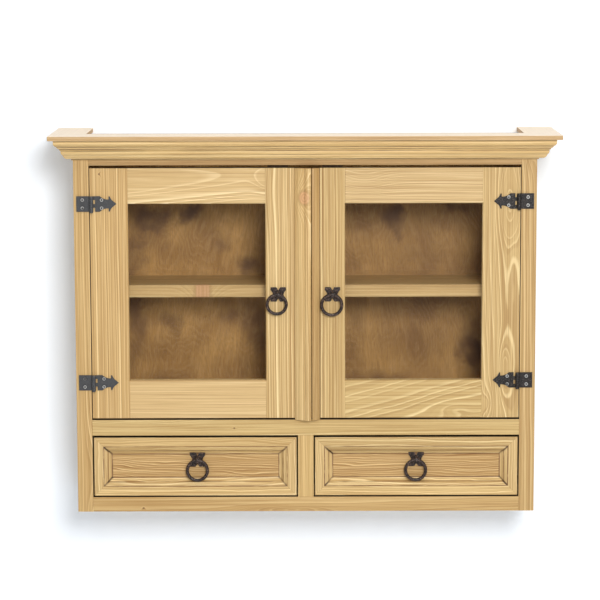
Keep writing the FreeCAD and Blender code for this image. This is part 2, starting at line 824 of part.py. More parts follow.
def hinge_pin(name, side, which):
    """A pin that is peened flush at its top, with its head below the leaves."""
    x = sided(side, hinge_axis)
    low = hinge_level(side, which) - hinge_half
    head_height = S.hinge_pin_head_height
    shaft = rod(f"{name}_shaft", S.hinge_pin_radius, S.hinge_height, x, hinge_axis_y, low, "Z")
    head = rod(f"{name}_head", S.hinge_pin_head_radius, head_height, x, hinge_axis_y, low - head_height, "Z")
    return fuse(f"{name}_pin", [shaft, head])


def screw(name, x, y, z):
    """A round-headed screw whose head stands on the leaf, with a driving recess."""
    head = doc.addObject("Part::Cone", f"{name}_head")
    head.Placement = FreeCAD.Placement(FreeCAD.Vector(), TURNS["-Y"])
    head.setExpression("Radius1", S.screw_head_radius.text)
    head.setExpression("Radius2", S.screw_crown_radius.text)
    head.setExpression("Height", S.screw_head_height.text)
    place(head, x, y, z)
    shank = rod(f"{name}_shank", S.screw_shank_radius, S.screw_length, x, y, z, "Y")
    crown = y - S.screw_head_height
    recess = rod(
        f"{name}_recess",
        S.screw_recess_radius,
        S.screw_recess_depth + S.overrun,
        x,
        crown - S.overrun,
        z,
        "Y",
    )
    return cut(f"{name}_screw", fuse(f"{name}_solid", [head, shank]), [recess])


def hinges():
    leaves, pins, frame_screws = [], [], []
    for name, side in SIDES.items():
        frame_face = face - S.hinge_leaf_thickness
        door_face = face + S.front_recess - S.hinge_leaf_thickness
        frame_holes = screw_holes(f"leaf_{name}_hole", side, S.frame_screw_reach, frame_face)
        door_holes = screw_holes(f"door_leaf_{name}_hole", side, -S.door_screw_reach, door_face)
        door_leaves, door_screws = [], []
        for which in HINGE_LEVELS:
            leaves.append(frame_leaf(f"frame_{name}_{which}", side, which, frame_holes))
            door_leaves.append(door_leaf(f"door_{name}_{which}", side, which, door_holes))
            pins.append(hinge_pin(f"hinge_{name}_{which}", side, which))
            frame_x = sided(side, hinge_axis + S.frame_screw_reach)
            door_x = sided(side, hinge_axis - S.door_screw_reach)
            for level in screw_levels(side, which):
                frame_screws.append(screw(f"frame_{name}_{which}", frame_x, frame_face, level))
                door_screws.append(screw(f"door_{name}_{which}", door_x, door_face, level))
        group(f"door_{name}_hinge_leaves", door_leaves)
        group(f"door_{name}_hinge_screws", door_screws)
    group("hinge_leaves_frame", leaves)
    group("hinge_pins", pins)
    group("hinge_screws_frame", frame_screws)


# Ring pulls: a four-lobed plate with a forged eye and a stud behind it, and a ring hung in the eye
def plate_outline():
    """The four-lobed plate from the front, clockwise from the notch at its top."""
    right = [line_to(ZERO, S.plate_half_height * PLATE_NOTCH_SHARE)]
    for wide, tall, curve in PLATE_SHARES:
        u = S.plate_half_width * wide
        v = S.plate_half_height * tall
        right.append(arc_to(u, v, S.plate_half_height * curve, 1) if curve else line_to(u, v))
    left = []
    for index in range(len(right) - 2, 0, -1):
        step, source = right[index], right[index + 1]
        mirrored = line_to(-step.u, step.v)
        if source.radius is not None:
            mirrored = arc_to(-step.u, step.v, source.radius, 1)
        left.append(mirrored)
    return right + left


def ring_pull(name, x, plate_back, z):
    plate_front = plate_back - S.plate_thickness
    eye_y = plate_front - S.eye_standoff
    plate = prism(f"{name}_plate", "XZ", plate_outline(), S.plate_thickness, x, plate_back, z)
    half_eye = S.eye_width / 2
    eye = rod(f"{name}_eye", S.eye_radius, S.eye_width, x - half_eye, eye_y, z, "X")
    neck = box(
        f"{name}_neck",
        around(x, half_eye),
        (eye_y, plate_front),
        around(z, S.eye_neck_height / 2),
    )
    stud = rod(f"{name}_stud", S.stud_radius, S.stud_length, x, plate_back - S.plate_thickness / 2, z, "Y")
    hole_start = x - half_eye - S.overrun
    hole = rod(f"{name}_eye_hole", S.eye_hole_radius, S.eye_width + S.overrun * 2, hole_start, eye_y, z, "X")
    forged = fuse(f"{name}_forged", [plate, eye, neck, stud])
    node(cut(f"{name}_pull", forged, [hole]), f"{name}_ring_plate")
    lean = math.radians(RING_LEAN_DEGREES[name])
    radius = S.ring_radius * RING_SIZE_SHARES[name]
    ring = doc.addObject("Part::Torus", f"{name}_hoop")
    ring.Placement = FreeCAD.Placement(FreeCAD.Vector(), TURNS["Y"])
    ring.setExpression("Radius1", radius.text)
    ring.setExpression("Radius2", S.ring_wire_radius.text)
    ring_x = x - radius * math.sin(lean)
    ring_z = z - S.ring_drop - radius * math.cos(lean)
    place(ring, ring_x, eye_y, ring_z)
    node(ring, f"{name}_ring")


# Drawers: a mitred moulded frame round a sunk panel, and behind it a plain box with a thin bottom
def drawer_member_outline(turned, mirror):
    """A frame member's section: u runs inward from the outer edge, v from the face to the back."""
    ovolo_end = drawer_border + drawer_ovolo
    ovolo_foot = S.drawer_quirk + S.drawer_ovolo_drop
    cove_top = ovolo_foot + S.drawer_quirk
    panel_back = S.drawer_panel_recess + S.drawer_panel_thickness
    grooved = drawer_member_width - S.drawer_groove_depth
    steps = [
        (ZERO, ZERO, None, 0),
        (drawer_border, ZERO, None, 0),
        (drawer_border, S.drawer_quirk, None, 0),
        (ovolo_end, ovolo_foot, drawer_ovolo * DRAWER_RADIUS_SHARE, -1),
        (ovolo_end, cove_top, None, 0),
        (drawer_member_width, S.drawer_panel_recess, drawer_cove * DRAWER_RADIUS_SHARE, 1),
        (grooved, S.drawer_panel_recess, None, 0),
        (grooved, panel_back, None, 0),
        (drawer_member_width, panel_back, None, 0),
        (drawer_member_width, S.drawer_front_thickness, None, 0),
        (ZERO, S.drawer_front_thickness, None, 0),
    ]
    outline = []
    for inward, depth, radius, turn in steps:
        inward = inward if mirror > 0 else -inward
        u, v = (depth, inward) if turned else (inward, depth)
        way = turn * mirror * (1 if turned else -1)
        outline.append(line_to(u, v) if radius is None else arc_to(u, v, radius, way))
    return outline


def drawer_front(name, x, front, z, plate_seat):
    """The four members, of which the top one is notched for the pull's plate, and the panel's blank."""
    width = drawer_member_width
    members = []
    corners = {
        "low": [(x[0], z[0]), (x[1], z[0]), (x[1] - width, z[0] + width), (x[0] + width, z[0] + width)],
        "high": [(x[0], z[1]), (x[1], z[1]), (x[1] - width, z[1] - width), (x[0] + width, z[1] - width)],
        "start": [(x[0], z[0]), (x[0], z[1]), (x[0] + width, z[1] - width), (x[0] + width, z[0] + width)],
        "end": [(x[1], z[0]), (x[1], z[1]), (x[1] - width, z[1] - width), (x[1] - width, z[0] + width)],
    }
    runs = {
        "low": ("YZ", drawer_member_outline(True, 1), x[1] - x[0], x[0], z[0]),
        "high": ("YZ", drawer_member_outline(True, -1), x[1] - x[0], x[0], z[1]),
        "start": ("XY", drawer_member_outline(False, 1), z[1] - z[0], x[0], z[0]),
        "end": ("XY", drawer_member_outline(False, -1), z[1] - z[0], x[1], z[0]),
    }
    back = front + S.drawer_front_thickness
    for which, points in corners.items():
        plane, outline, length, run_x, run_z = runs[which]
        run = prism(f"{name}_{which}_run", plane, outline, length, run_x, front, run_z)
        plan = [line_to(*point) for point in points]
        mitre = prism(f"{name}_{which}_mitre", "XZ", plan, S.drawer_front_thickness, ZERO, back, ZERO)
        member = common(f"{name}_{which}", run, mitre)
        members.append(cut(f"{name}_{which}_notched", member, [plate_seat]) if which == "high" else member)
    group(f"{name}_front_frame", members)
    panel_inset = width - S.drawer_groove_depth + S.drawer_groove_gap
    panel_front = front + S.drawer_panel_recess
    return box(
        f"{name}_panel_blank",
        (x[0] + panel_inset, x[1] - panel_inset),
        (panel_front, panel_front + S.drawer_panel_thickness),
        (z[0] + panel_inset, z[1] - panel_inset),
    )


def drawer(name, side, pull_reach):
    label = f"drawer_{name}"
    front = face + S.front_recess
    x = across(side, S.muntin_width / 2 + S.drawer_side_gap, opening_edge - S.drawer_side_gap)
    z = (drawer_floor + S.drawer_bottom_gap, drawer_ceiling - S.drawer_top_gap)
    panel_front = front + S.drawer_panel_recess
    pull_x = sided(side, pull_reach)
    plate_seat = box(
        f"{label}_plate_seat",
        around(pull_x, S.plate_half_width + S.plate_seat_gap),
        (panel_front - S.plate_thickness - S.plate_seat_gap, panel_front),
        (drawer_pull_level, drawer_pull_level + S.plate_half_height + S.plate_seat_gap),
    )
    panel = drawer_front(label, x, front, z, plate_seat)
    hole = rod(
        f"{label}_stud_hole",
        S.stud_radius + S.stud_clearance,
        S.stud_length + S.overrun,
        pull_x,
        panel_front - S.overrun,
        drawer_pull_level,
        "Y",
    )
    node(cut(f"{label}_panel", panel, [hole]), f"{label}_front_panel")
    ring_pull(label, pull_x, panel_front, drawer_pull_level)

    front_back = front + S.drawer_front_thickness
    rear = back_front - S.drawer_rear_gap
    low = drawer_floor + S.drawer_runner_gap
    high = low + S.drawer_side_height
    bottom_z = (low + S.drawer_bottom_lift, low + S.drawer_bottom_lift + S.drawer_bottom_thickness)
    inside = (x[0] + S.drawer_side_thickness, x[1] - S.drawer_side_thickness)
    bottom_x = (inside[0] - S.drawer_bottom_groove, inside[1] + S.drawer_bottom_groove)
    bottom = box(f"{label}_bottom_sheet", bottom_x, (front_back, rear), bottom_z)
    sides = []
    for which, span in (("low", (x[0], inside[0])), ("high", (inside[1], x[1]))):
        blank = box(f"{label}_{which}_blank", span, (front_back, rear), (low, high))
        sides.append(cut(f"{label}_{which}_side", blank, [bottom]))
    back = box(f"{label}_back", inside, (rear - S.drawer_side_thickness, rear), (bottom_z[1], high))
    group(f"{label}_box", [*sides, back])
    node(bottom, f"{label}_bottom")


face_frame()
carcass()
back_and_hanging_rail()
guides_and_stops()
cornice()
for name, side, reach in (("left", LEFT, S.door_pull_left_reach), ("right", RIGHT, S.door_pull_right_reach)):
    door(name, side, reach)
    ring_pull(f"door_{name}", sided(side, reach), face + S.front_recess, door_pull_level)
hinges()
drawer("left", LEFT, S.drawer_pull_left_reach)
drawer("right", RIGHT, S.drawer_pull_right_reach)
doc.recompute()

faults = [item.Label for item in doc.Objects if {"Invalid", "Error"} & set(item.State)]
for item in nodes:
    if item.Shape.isNull() or not item.Shape.isValid() or not item.Shape.Solids:
        faults.append(item.Label)
if faults:
    raise SystemExit(f"these objects failed: {faults}")
os.makedirs("parts", exist_ok=True)
for item in nodes:
    item.Shape.exportStep(f"parts/{item.Label}.step")
    print(item.Label, len(item.Shape.Solids), round(item.Shape.Volume / 1000, 3))
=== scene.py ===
import math

import bpy
from mathutils import Matrix, Vector


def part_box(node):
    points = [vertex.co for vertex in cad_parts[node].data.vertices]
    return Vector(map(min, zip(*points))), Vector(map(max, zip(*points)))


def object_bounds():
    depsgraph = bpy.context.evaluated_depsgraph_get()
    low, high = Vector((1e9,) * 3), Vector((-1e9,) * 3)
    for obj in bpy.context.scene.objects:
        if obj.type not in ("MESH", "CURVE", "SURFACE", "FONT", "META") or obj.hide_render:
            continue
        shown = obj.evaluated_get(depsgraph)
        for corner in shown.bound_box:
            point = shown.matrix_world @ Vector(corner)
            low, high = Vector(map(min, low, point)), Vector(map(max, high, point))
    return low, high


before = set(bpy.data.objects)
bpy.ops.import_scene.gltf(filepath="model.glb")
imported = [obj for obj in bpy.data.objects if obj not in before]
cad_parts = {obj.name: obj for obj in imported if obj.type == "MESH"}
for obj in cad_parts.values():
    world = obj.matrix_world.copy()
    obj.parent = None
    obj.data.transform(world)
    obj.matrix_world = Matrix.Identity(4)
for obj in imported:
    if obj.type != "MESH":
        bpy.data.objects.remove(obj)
cad_low, cad_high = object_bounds()

# Face frame
# Two stiles and three rails of planed pine, 20 mm thick and tenoned together, with a short muntin
# between the drawers. All the pine is brushed along the grain, stained honey and waxed.


def feed(tree, kind, sockets=None, **settings):
    """Adds a shader node, sets it up, and gives its sockets a value or another node's output."""
    node = tree.nodes.new(f"ShaderNode{kind}")
    for name, value in settings.items():
        setattr(node, name, value)
    for name, value in (sockets or {}).items():
        if isinstance(value, bpy.types.NodeSocket):
            tree.links.new(value, node.inputs[name])
        else:
            node.inputs[name].default_value = value
    return node


def sums(tree, operation, *values):
    """One step of arithmetic on numbers or sockets."""
    return feed(tree, "Math", dict(enumerate(values)), operation=operation).outputs[0]


def vectors(tree, operation, *values):
    """One step of arithmetic on vectors."""
    output = "Value" if operation == "LENGTH" else "Vector"
    return feed(tree, "VectorMath", dict(enumerate(values)), operation=operation).outputs[output]


def between(tree, value, low, high, start=0.0, end=1.0):
    """A soft step: start below low, end above high."""
    sockets = {"Value": value, "From Min": low, "From Max": high, "To Min": start, "To Max": end}
    return feed(tree, "MapRange", sockets, interpolation_type="SMOOTHSTEP").outputs[0]


def near(tree, value, middle, reach, strength=1.0):
    """A soft band round a value, from nothing to the strength and back."""
    off = sums(tree, "ABSOLUTE", sums(tree, "SUBTRACT", value, middle))
    return between(tree, off, reach * 0.4, reach, strength, 0.0)


def mottle(tree, place, stretch, seed, detail=2.0):
    """Noise that is stretched along the board, from 0 to 1."""
    stretched = vectors(tree, "MULTIPLY", place, stretch)
    sockets = {"Vector": stretched, "W": seed, "Scale": 1.0, "Detail": detail, "Roughness": 0.55}
    return feed(tree, "TexNoise", sockets, noise_dimensions="4D").outputs[0]


def tint(tree, amount, first, second, blend="MIX"):
    """A mix of two colours."""
    node = feed(tree, "Mix", {0: amount, 6: first, 7: second}, data_type="RGBA", blend_type=blend)
    return node.outputs[2]


def product(tree, *values):
    """Masks multiplied together."""
    result = values[0]
    for value in values[1:]:
        result = sums(tree, "MULTIPLY", result, value)
    return result


def shader_group(name, inputs, outputs):
    """An empty node group with named sockets, its input node and its output node."""
    tree = bpy.data.node_groups.new(name, "ShaderNodeTree")
    for socket, kind, start in inputs:
        made = tree.interface.new_socket(name=socket, in_out="INPUT", socket_type=f"NodeSocket{kind}")
        if start is not None:
            made.default_value = start
    for socket, kind in outputs:
        tree.interface.new_socket(name=socket, in_out="OUTPUT", socket_type=f"NodeSocket{kind}")
    return tree, tree.nodes.new("NodeGroupInput").outputs, tree.nodes.new("NodeGroupOutput").inputs


def build_pine_grain():
    """Year rings round a pith beside or behind the board, cut by its faces, in honey-stained pine.

    The late wood stays pale under the stain. A flame is a place where the rings swell."""
    tree, given, result = shader_group(
        "pine_grain",
        [
            ("Place", "Vector", None),
            ("Pith", "Vector", None),
            ("Lean", "Vector", None),
            ("Spacing", "Float", 0.005),
            ("Wander", "Float", 0.01),
            ("Flames", "Float", 0.0),
            ("Seed", "Float", 0.0),
            ("Lines", "Float", 1.0),
            ("Dark", "Float", 0.6),
            ("Cloudy", "Float", 0.35),
            ("Knot", "Vector", None),
            ("Knot Size", "Float", 0.0),
            ("Tone", "Color", (1, 1, 1, 1)),
        ],
        [("Color", "Color"), ("Roughness", "Float"), ("Height", "Float")],
    )
    tan, brown, cream = (0.545, 0.362, 0.152, 1), (0.455, 0.282, 0.104, 1), (0.83, 0.635, 0.335, 1)
    deep, red_brown = (0.30, 0.155, 0.046, 1), (0.42, 0.20, 0.085, 1)
    live_knot, pin_knot = (0.56, 0.31, 0.155, 1), (0.09, 0.035, 0.014, 1)
    place, seed, lines = given["Place"], given["Seed"], given["Lines"]
    along = feed(tree, "SeparateXYZ", {0: place}).outputs["X"]
    leaned = vectors(tree, "MULTIPLY_ADD", given["Lean"], along, place)
    from_pith = vectors(tree, "MULTIPLY", vectors(tree, "SUBTRACT", leaned, given["Pith"]), (0, 1, 1))
    drift = sums(tree, "SUBTRACT", mottle(tree, place, (3.2, 13, 13), seed), 0.5)
    waver = sums(tree, "SUBTRACT", mottle(tree, place, (22, 90, 90), seed, 1.0), 0.5)
    bent = sums(tree, "MULTIPLY_ADD", waver, 0.10, drift)
    reach = sums(tree, "MULTIPLY_ADD", bent, given["Wander"], vectors(tree, "LENGTH", from_pith))
    reach = sums(tree, "ADD", reach, given["Flames"])
    to_knot = vectors(tree, "MULTIPLY", vectors(tree, "SUBTRACT", place, given["Knot"]), (0.78, 1, 0))
    knot_share = sums(tree, "DIVIDE", vectors(tree, "LENGTH", to_knot), given["Knot Size"])
    swell = sums(tree, "EXPONENT", sums(tree, "MULTIPLY", sums(tree, "POWER", knot_share, 2.0), -0.7))
    reach = sums(tree, "MULTIPLY_ADD", swell, sums(tree, "MULTIPLY", given["Knot Size"], 1.5), reach)
    years = sums(tree, "DIVIDE", reach, given["Spacing"])
    slow_years = sums(tree, "MULTIPLY_ADD", years, 0.45, seed)
    uneven = feed(tree, "TexNoise", {"W": slow_years, "Scale": 1.0, "Detail": 1.0}, noise_dimensions="1D")
    years = sums(tree, "MULTIPLY_ADD", uneven.outputs[0], 1.5, years)
    season = sums(tree, "FRACT", years)
    year = sums(tree, "ADD", sums(tree, "FLOOR", years), seed)
    vigour = feed(tree, "TexWhiteNoise", {"W": year}, noise_dimensions="1D").outputs["Value"]
    late = product(tree, between(tree, season, 0.64, 0.90), between(tree, season, 0.95, 1, 1, 0))
    late = product(tree, late, between(tree, vigour, 0, 1, 0.35, 1.0), lines)
    early = product(tree, near(tree, season, 0.12, 0.20), between(tree, vigour, 0, 1, 0.25, 1.0))
    early = product(tree, early, given["Dark"])
    cloud = mottle(tree, place, (2.6, 16, 16), sums(tree, "ADD", seed, 3.0), 3.0)
    streak = mottle(tree, place, (4, 460, 460), sums(tree, "ADD", seed, 6.0), 2.0)
    fibre = mottle(tree, place, (30, 1100, 1100), seed, 3.0)
    pores = between(tree, mottle(tree, place, (60, 900, 900), sums(tree, "ADD", seed, 9.0), 1.0), 0.66, 0.76)
    cloudiness = sums(tree, "MULTIPLY", between(tree, cloud, 0.36, 0.64), given["Cloudy"])
    color = tint(tree, cloudiness, tan, brown)
    color = tint(tree, late, color, cream)
    color = tint(tree, product(tree, early, 0.75), color, deep)
    color = tint(tree, between(tree, streak, 0.34, 0.50, 0.40, 0.0), color, deep)
    color = tint(tree, between(tree, streak, 0.53, 0.66, 0.0, 0.30), color, cream)
    color = tint(tree, between(tree, fibre, 0.3, 0.7, 0.12, 0.0), color, deep)
    color = tint(tree, product(tree, pores, 0.22), color, red_brown)
    present = sums(tree, "GREATER_THAN", given["Knot Size"], 0.0001)
    heart = product(tree, between(tree, knot_share, 0.44, 0.64, 1, 0), present)
    rim = product(tree, between(tree, knot_share, 0.42, 0.60), between(tree, knot_share, 0.60, 0.85, 1, 0))
    rim = product(tree, rim, present)
    rings = sums(tree, "SINE", sums(tree, "MULTIPLY", knot_share, 26.0))
    knot_color = tint(tree, between(tree, rings, -1, 1, 0.0, 0.6), live_knot, red_brown)
    is_live = between(tree, given["Knot Size"], 0.004, 0.008)
    knot_color = tint(tree, is_live, pin_knot, knot_color)
    color = tint(tree, product(tree, heart, 0.80), color, knot_color)
    color = tint(tree, product(tree, rim, 0.38), color, deep)
    color = tint(tree, 1.0, color, given["Tone"], "MULTIPLY")
    roughness = sums(tree, "MULTIPLY_ADD", late, -0.08, between(tree, fibre, 0.2, 0.8, 0.56, 0.46))
    height = sums(tree, "MULTIPLY_ADD", fibre, 0.35, sums(tree, "MULTIPLY", late, 0.6))
    height = sums(tree, "MULTIPLY_ADD", pores, -0.4, height)
    tree.links.new(color, result["Color"])
    tree.links.new(roughness, result["Roughness"])
    tree.links.new(height, result["Height"])
    return tree


def build_flame():
    """A place where the year rings swell: a rounded hill on the board, by its middle, reach and lift."""
    tree, given, result = shader_group(
        "pine_flame",
        [
            ("Place", "Vector", None),
            ("Middle", "Vector", None),
            ("Reach", "Vector", None),
            ("Lift", "Float", 0.0),
        ],
        [("Swell", "Float")],
    )
    off = vectors(tree, "MULTIPLY", vectors(tree, "SUBTRACT", given["Place"], given["Middle"]), (1, 1, 0))
    share = vectors(tree, "LENGTH", vectors(tree, "DIVIDE", off, given["Reach"]))
    hill = sums(tree, "EXPONENT", sums(tree, "MULTIPLY", sums(tree, "POWER", share, 2.0), -1.0))
    tree.links.new(product(tree, hill, given["Lift"]), result["Swell"])
    return tree


PINE_GRAIN = build_pine_grain()
PINE_FLAME = build_flame()


def placed(tree, group, **sockets):
    """Puts a node group into a tree and fills its sockets."""
    node = feed(tree, "Group", None, node_tree=group)
    for name, value in sockets.items():
        socket = node.inputs[name.replace("_", " ").title()]
        if isinstance(value, bpy.types.NodeSocket):
            tree.links.new(value, socket)
        else:
            socket.default_value = value
    return node.outputs


def new_material(name):
    """A material with a bare Principled BSDF. Returns the material, its tree and the shader."""
    material = bpy.data.materials.new(name)
    material.use_nodes = True
    tree = material.node_tree
    return material, tree, tree.nodes["Principled BSDF"]


def finish_wood(tree, shader, color, roughness, height, depth=0.00025):
    """Wax over brushed wood: a satin sheen with the grain standing a little proud."""
    bump = feed(tree, "Bump", {"Height": height, "Strength": 0.6, "Distance": depth})
    tree.links.new(color, shader.inputs["Base Color"])
    tree.links.new(roughness, shader.inputs["Roughness"])
    tree.links.new(bump.outputs[0], shader.inputs["Normal"])
    shader.inputs["Specular IOR Level"].default_value = 0.35


def board_place(tree, middle, axes):
    """The place in a board measured from its middle, as along, across and through."""
    place = feed(tree, "TexCoord").outputs["Object"]
    parts = feed(tree, "SeparateXYZ", {0: vectors(tree, "SUBTRACT", place, middle)}).outputs
    return feed(tree, "CombineXYZ", {index: parts[axis] for index, axis in enumerate(axes)}).outputs[0]


def board_grain(
    tree, place, pith, spacing, seed, lean=(0, 0), wander=0.01, lines=1.0, flames=(), knot=None, **rest
):
    """A placed grain group with one board's own log, rings, flames and knot.

    A flame is its middle, its reach and its lift. A knot is its place along and across, and its size."""
    swell = 0.0
    for middle, size, lift in flames:
        hill = placed(tree, PINE_FLAME, place=place, middle=(*middle, 0), reach=(*size, 1), lift=lift)[0]
        swell = sums(tree, "ADD", swell, hill)
    if knot:
        rest.update(knot=(knot[0], knot[1], 0), knot_size=knot[2])
    if "tone" in rest:
        rest["tone"] = (*rest["tone"], 1)
    return placed(
        tree, PINE_GRAIN, place=place, pith=(0, *pith), lean=(0, *lean), spacing=spacing, seed=seed,
        wander=wander, lines=lines, flames=swell, **rest,
    )


def dress(node, material, arris=0.0):
    """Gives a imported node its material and, on wood, worn arrises."""
    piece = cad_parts[node]
    piece.data.materials.clear()
    piece.data.materials.append(material)
    if arris:
        least_edge, sharp_corner = 0.00002, math.radians(40)
        weld = piece.modifiers.new("weld", "WELD")
        weld.merge_threshold = least_edge
        bevel = piece.modifiers.new("arris", "BEVEL")
        bevel.width = arris
        bevel.segments = 2
        bevel.limit_method = "ANGLE"
        bevel.angle_limit = sharp_corner
        bevel.harden_normals = True


# How far in from an edge the painted shade of a gap reaches.
GAP_SHADE_DEPTH = 0.0013


def painted_gap_shade(tree, color, low, high, depth=GAP_SHADE_DEPTH):
    """Painted shade: dark brown on the edges that face a gap. The face and the back of the board keep their
    own colour.
    """
    gap_shade_brown = (0.022, 0.008, 0.004, 1)
    parts = feed(tree, "SeparateXYZ", {0: feed(tree, "TexCoord").outputs["Object"]}).outputs
    outside = 0.0
    for axis, start, end in (("X", low[0], high[0]), ("Z", low[2], high[2])):
        if start is not None:
            outside = sums(tree, "MAXIMUM", outside, between(tree, parts[axis], start, start + depth, 1, 0))
        if end is not None:
            outside = sums(tree, "MAXIMUM", outside, between(tree, parts[axis], end - depth, end))
    behind_face = between(tree, parts["Y"], low[1] + 0.0006, low[1] + 0.0018)
    before_back = between(tree, parts["Y"], high[1] - 0.0030, high[1] - 0.0008, 1, 0)
    return tint(tree, product(tree, outside, behind_face, before_back, 0.97), color, gap_shade_brown)


def pine_board(
    node, axes, pith, spacing, seed, arris=0.0007, gaps=None, gap_depth=GAP_SHADE_DEPTH, **grain
):
    """Dresses one board in its own piece of pine. The gaps are the box whose outside edges face a gap and get
    painted shade.
    """
    low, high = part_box(node)
    material, tree, shader = new_material(f"pine_{node}")
    place = board_place(tree, tuple((low + high) / 2), axes)
    out = board_grain(tree, place, pith, spacing, seed, **grain)
    color = out["Color"]
    # The edges that face a gap get painted shade.
    if gaps:
        color = painted_gap_shade(tree, color, *gaps, gap_depth)
    finish_wood(tree, shader, color, out["Roughness"], out["Height"])
    dress(node, material, arris)


def gap_edges(node, sides):
    """The corners of a node's box, with only the named sides counted as facing a gap."""
    low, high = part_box(node)
    kept_low = (low.x if "left" in sides else None, low.y, low.z if "under" in sides else None)
    kept_high = (high.x if "right" in sides else None, high.y, high.z if "over" in sides else None)
    return kept_low, kept_high


UPRIGHT, LEVEL = "ZXY", "XZY"
pine_board(
    "frame_stile_left", UPRIGHT, (0.10, 0.02), 0.0056, 1.0, lean=(0.006, 0), wander=0.006,
    lines=0.75, dark=0.8, tone=(1.00, 0.96, 0.89), gaps=gap_edges("frame_stile_left", "right"),
    flames=(((-0.30, 0.02), (0.10, 0.018), 0.016),),
)
pine_board(
    "frame_stile_right", UPRIGHT, (0.050, 0.030), 0.0054, 2.0, lean=(0.012, 0.0), wander=0.008,
    lines=0.55, tone=(0.95, 0.91, 0.84), gaps=gap_edges("frame_stile_right", "left"),
    flames=(((0.37, 0.0), (0.05, 0.012), -0.016),),
)
# The header rail is toned darker than the other boards as painted shade under the cornice.
pine_board(
    "frame_header_rail", LEVEL, (0.09, 0.03), 0.0045, 3.0,
    lines=0.5, dark=0.8, tone=(0.82, 0.75, 0.68), gaps=gap_edges("frame_header_rail", "under"),
)
pine_board(
    "frame_middle_rail", LEVEL, (-0.06, 0.045), 0.0048, 4.0, lean=(0.01, 0.02),
    lines=0.6, tone=(1.04, 1.07, 1.01), gaps=gap_edges("frame_middle_rail", "under over"),
    knot=(-0.142, -0.001, 0.0026), flames=(((-0.33, 0.02), (0.09, 0.02), 0.012),),
)
pine_board(
    "frame_bottom_rail", LEVEL, (0.07, 0.05), 0.0045, 5.0, lean=(-0.06, 0.03),
    lines=0.3, cloudy=1.0, tone=(1.02, 0.99, 0.92), gaps=gap_edges("frame_bottom_rail", "over"),
    knot=(-0.324, -0.0077, 0.0028), flames=(((-0.03, -0.01), (0.08, 0.01), 0.02),),
)
pine_board(
    "frame_muntin", UPRIGHT, (0.08, 0.04), 0.005, 6.0, lean=(0.02, 0.02),
    lines=0.45, dark=0.2, tone=(1.07, 1.05, 0.95), gaps=gap_edges("frame_muntin", "left right"),
)

# Carcass
# Sides, top, floor, base and divider are 18 and 12 mm pine boards behind the frame, glued and nailed.
# The shelf is 24 mm thick and housed in the sides.
SIDEWAYS = "ZYX"
for number, side in enumerate(("left", "right")):
    pine_board(f"side_panel_{side}", SIDEWAYS, (0.02, 0.06), 0.007, 10.0 + number, lean=(0.02, 0.05))
FLATWAYS = "XYZ"
pine_board("top_panel", FLATWAYS, (0.02, -0.05), 0.007, 12.0, lean=(0, 0.03))
pine_board("cupboard_floor", FLATWAYS, (-0.03, -0.05), 0.006, 13.0, lean=(0, 0.03))
pine_board("base_panel", FLATWAYS, (0.01, 0.06), 0.007, 14.0, lean=(0, 0.03))
pine_board("drawer_divider", SIDEWAYS, (0.02, 0.06), 0.006, 15.0)
pine_board(
    "shelf", FLATWAYS, (-0.03, -0.05), 0.006, 16.0, arris=0.0012,
    lines=0.35, tone=(0.90, 0.88, 0.82), knot=(-0.204, -0.074, 0.02),
)
pine_board("drawer_guides", "YXZ", (0.03, 0.05), 0.006, 18.0)
# The stop blocks are toned near black as painted shade, where they show through the gaps by the doors.
pine_board("door_stop_blocks", UPRIGHT, (0.03, 0.05), 0.006, 19.0, tone=(0.20, 0.14, 0.11))

# Back
# One sheet of 6 mm plywood, peeled from the log, with a dark walnut stain that has gone in as clouds.
# It is nailed into the rebates of the sides, and the rail that the cabinet hangs by is stained with it.


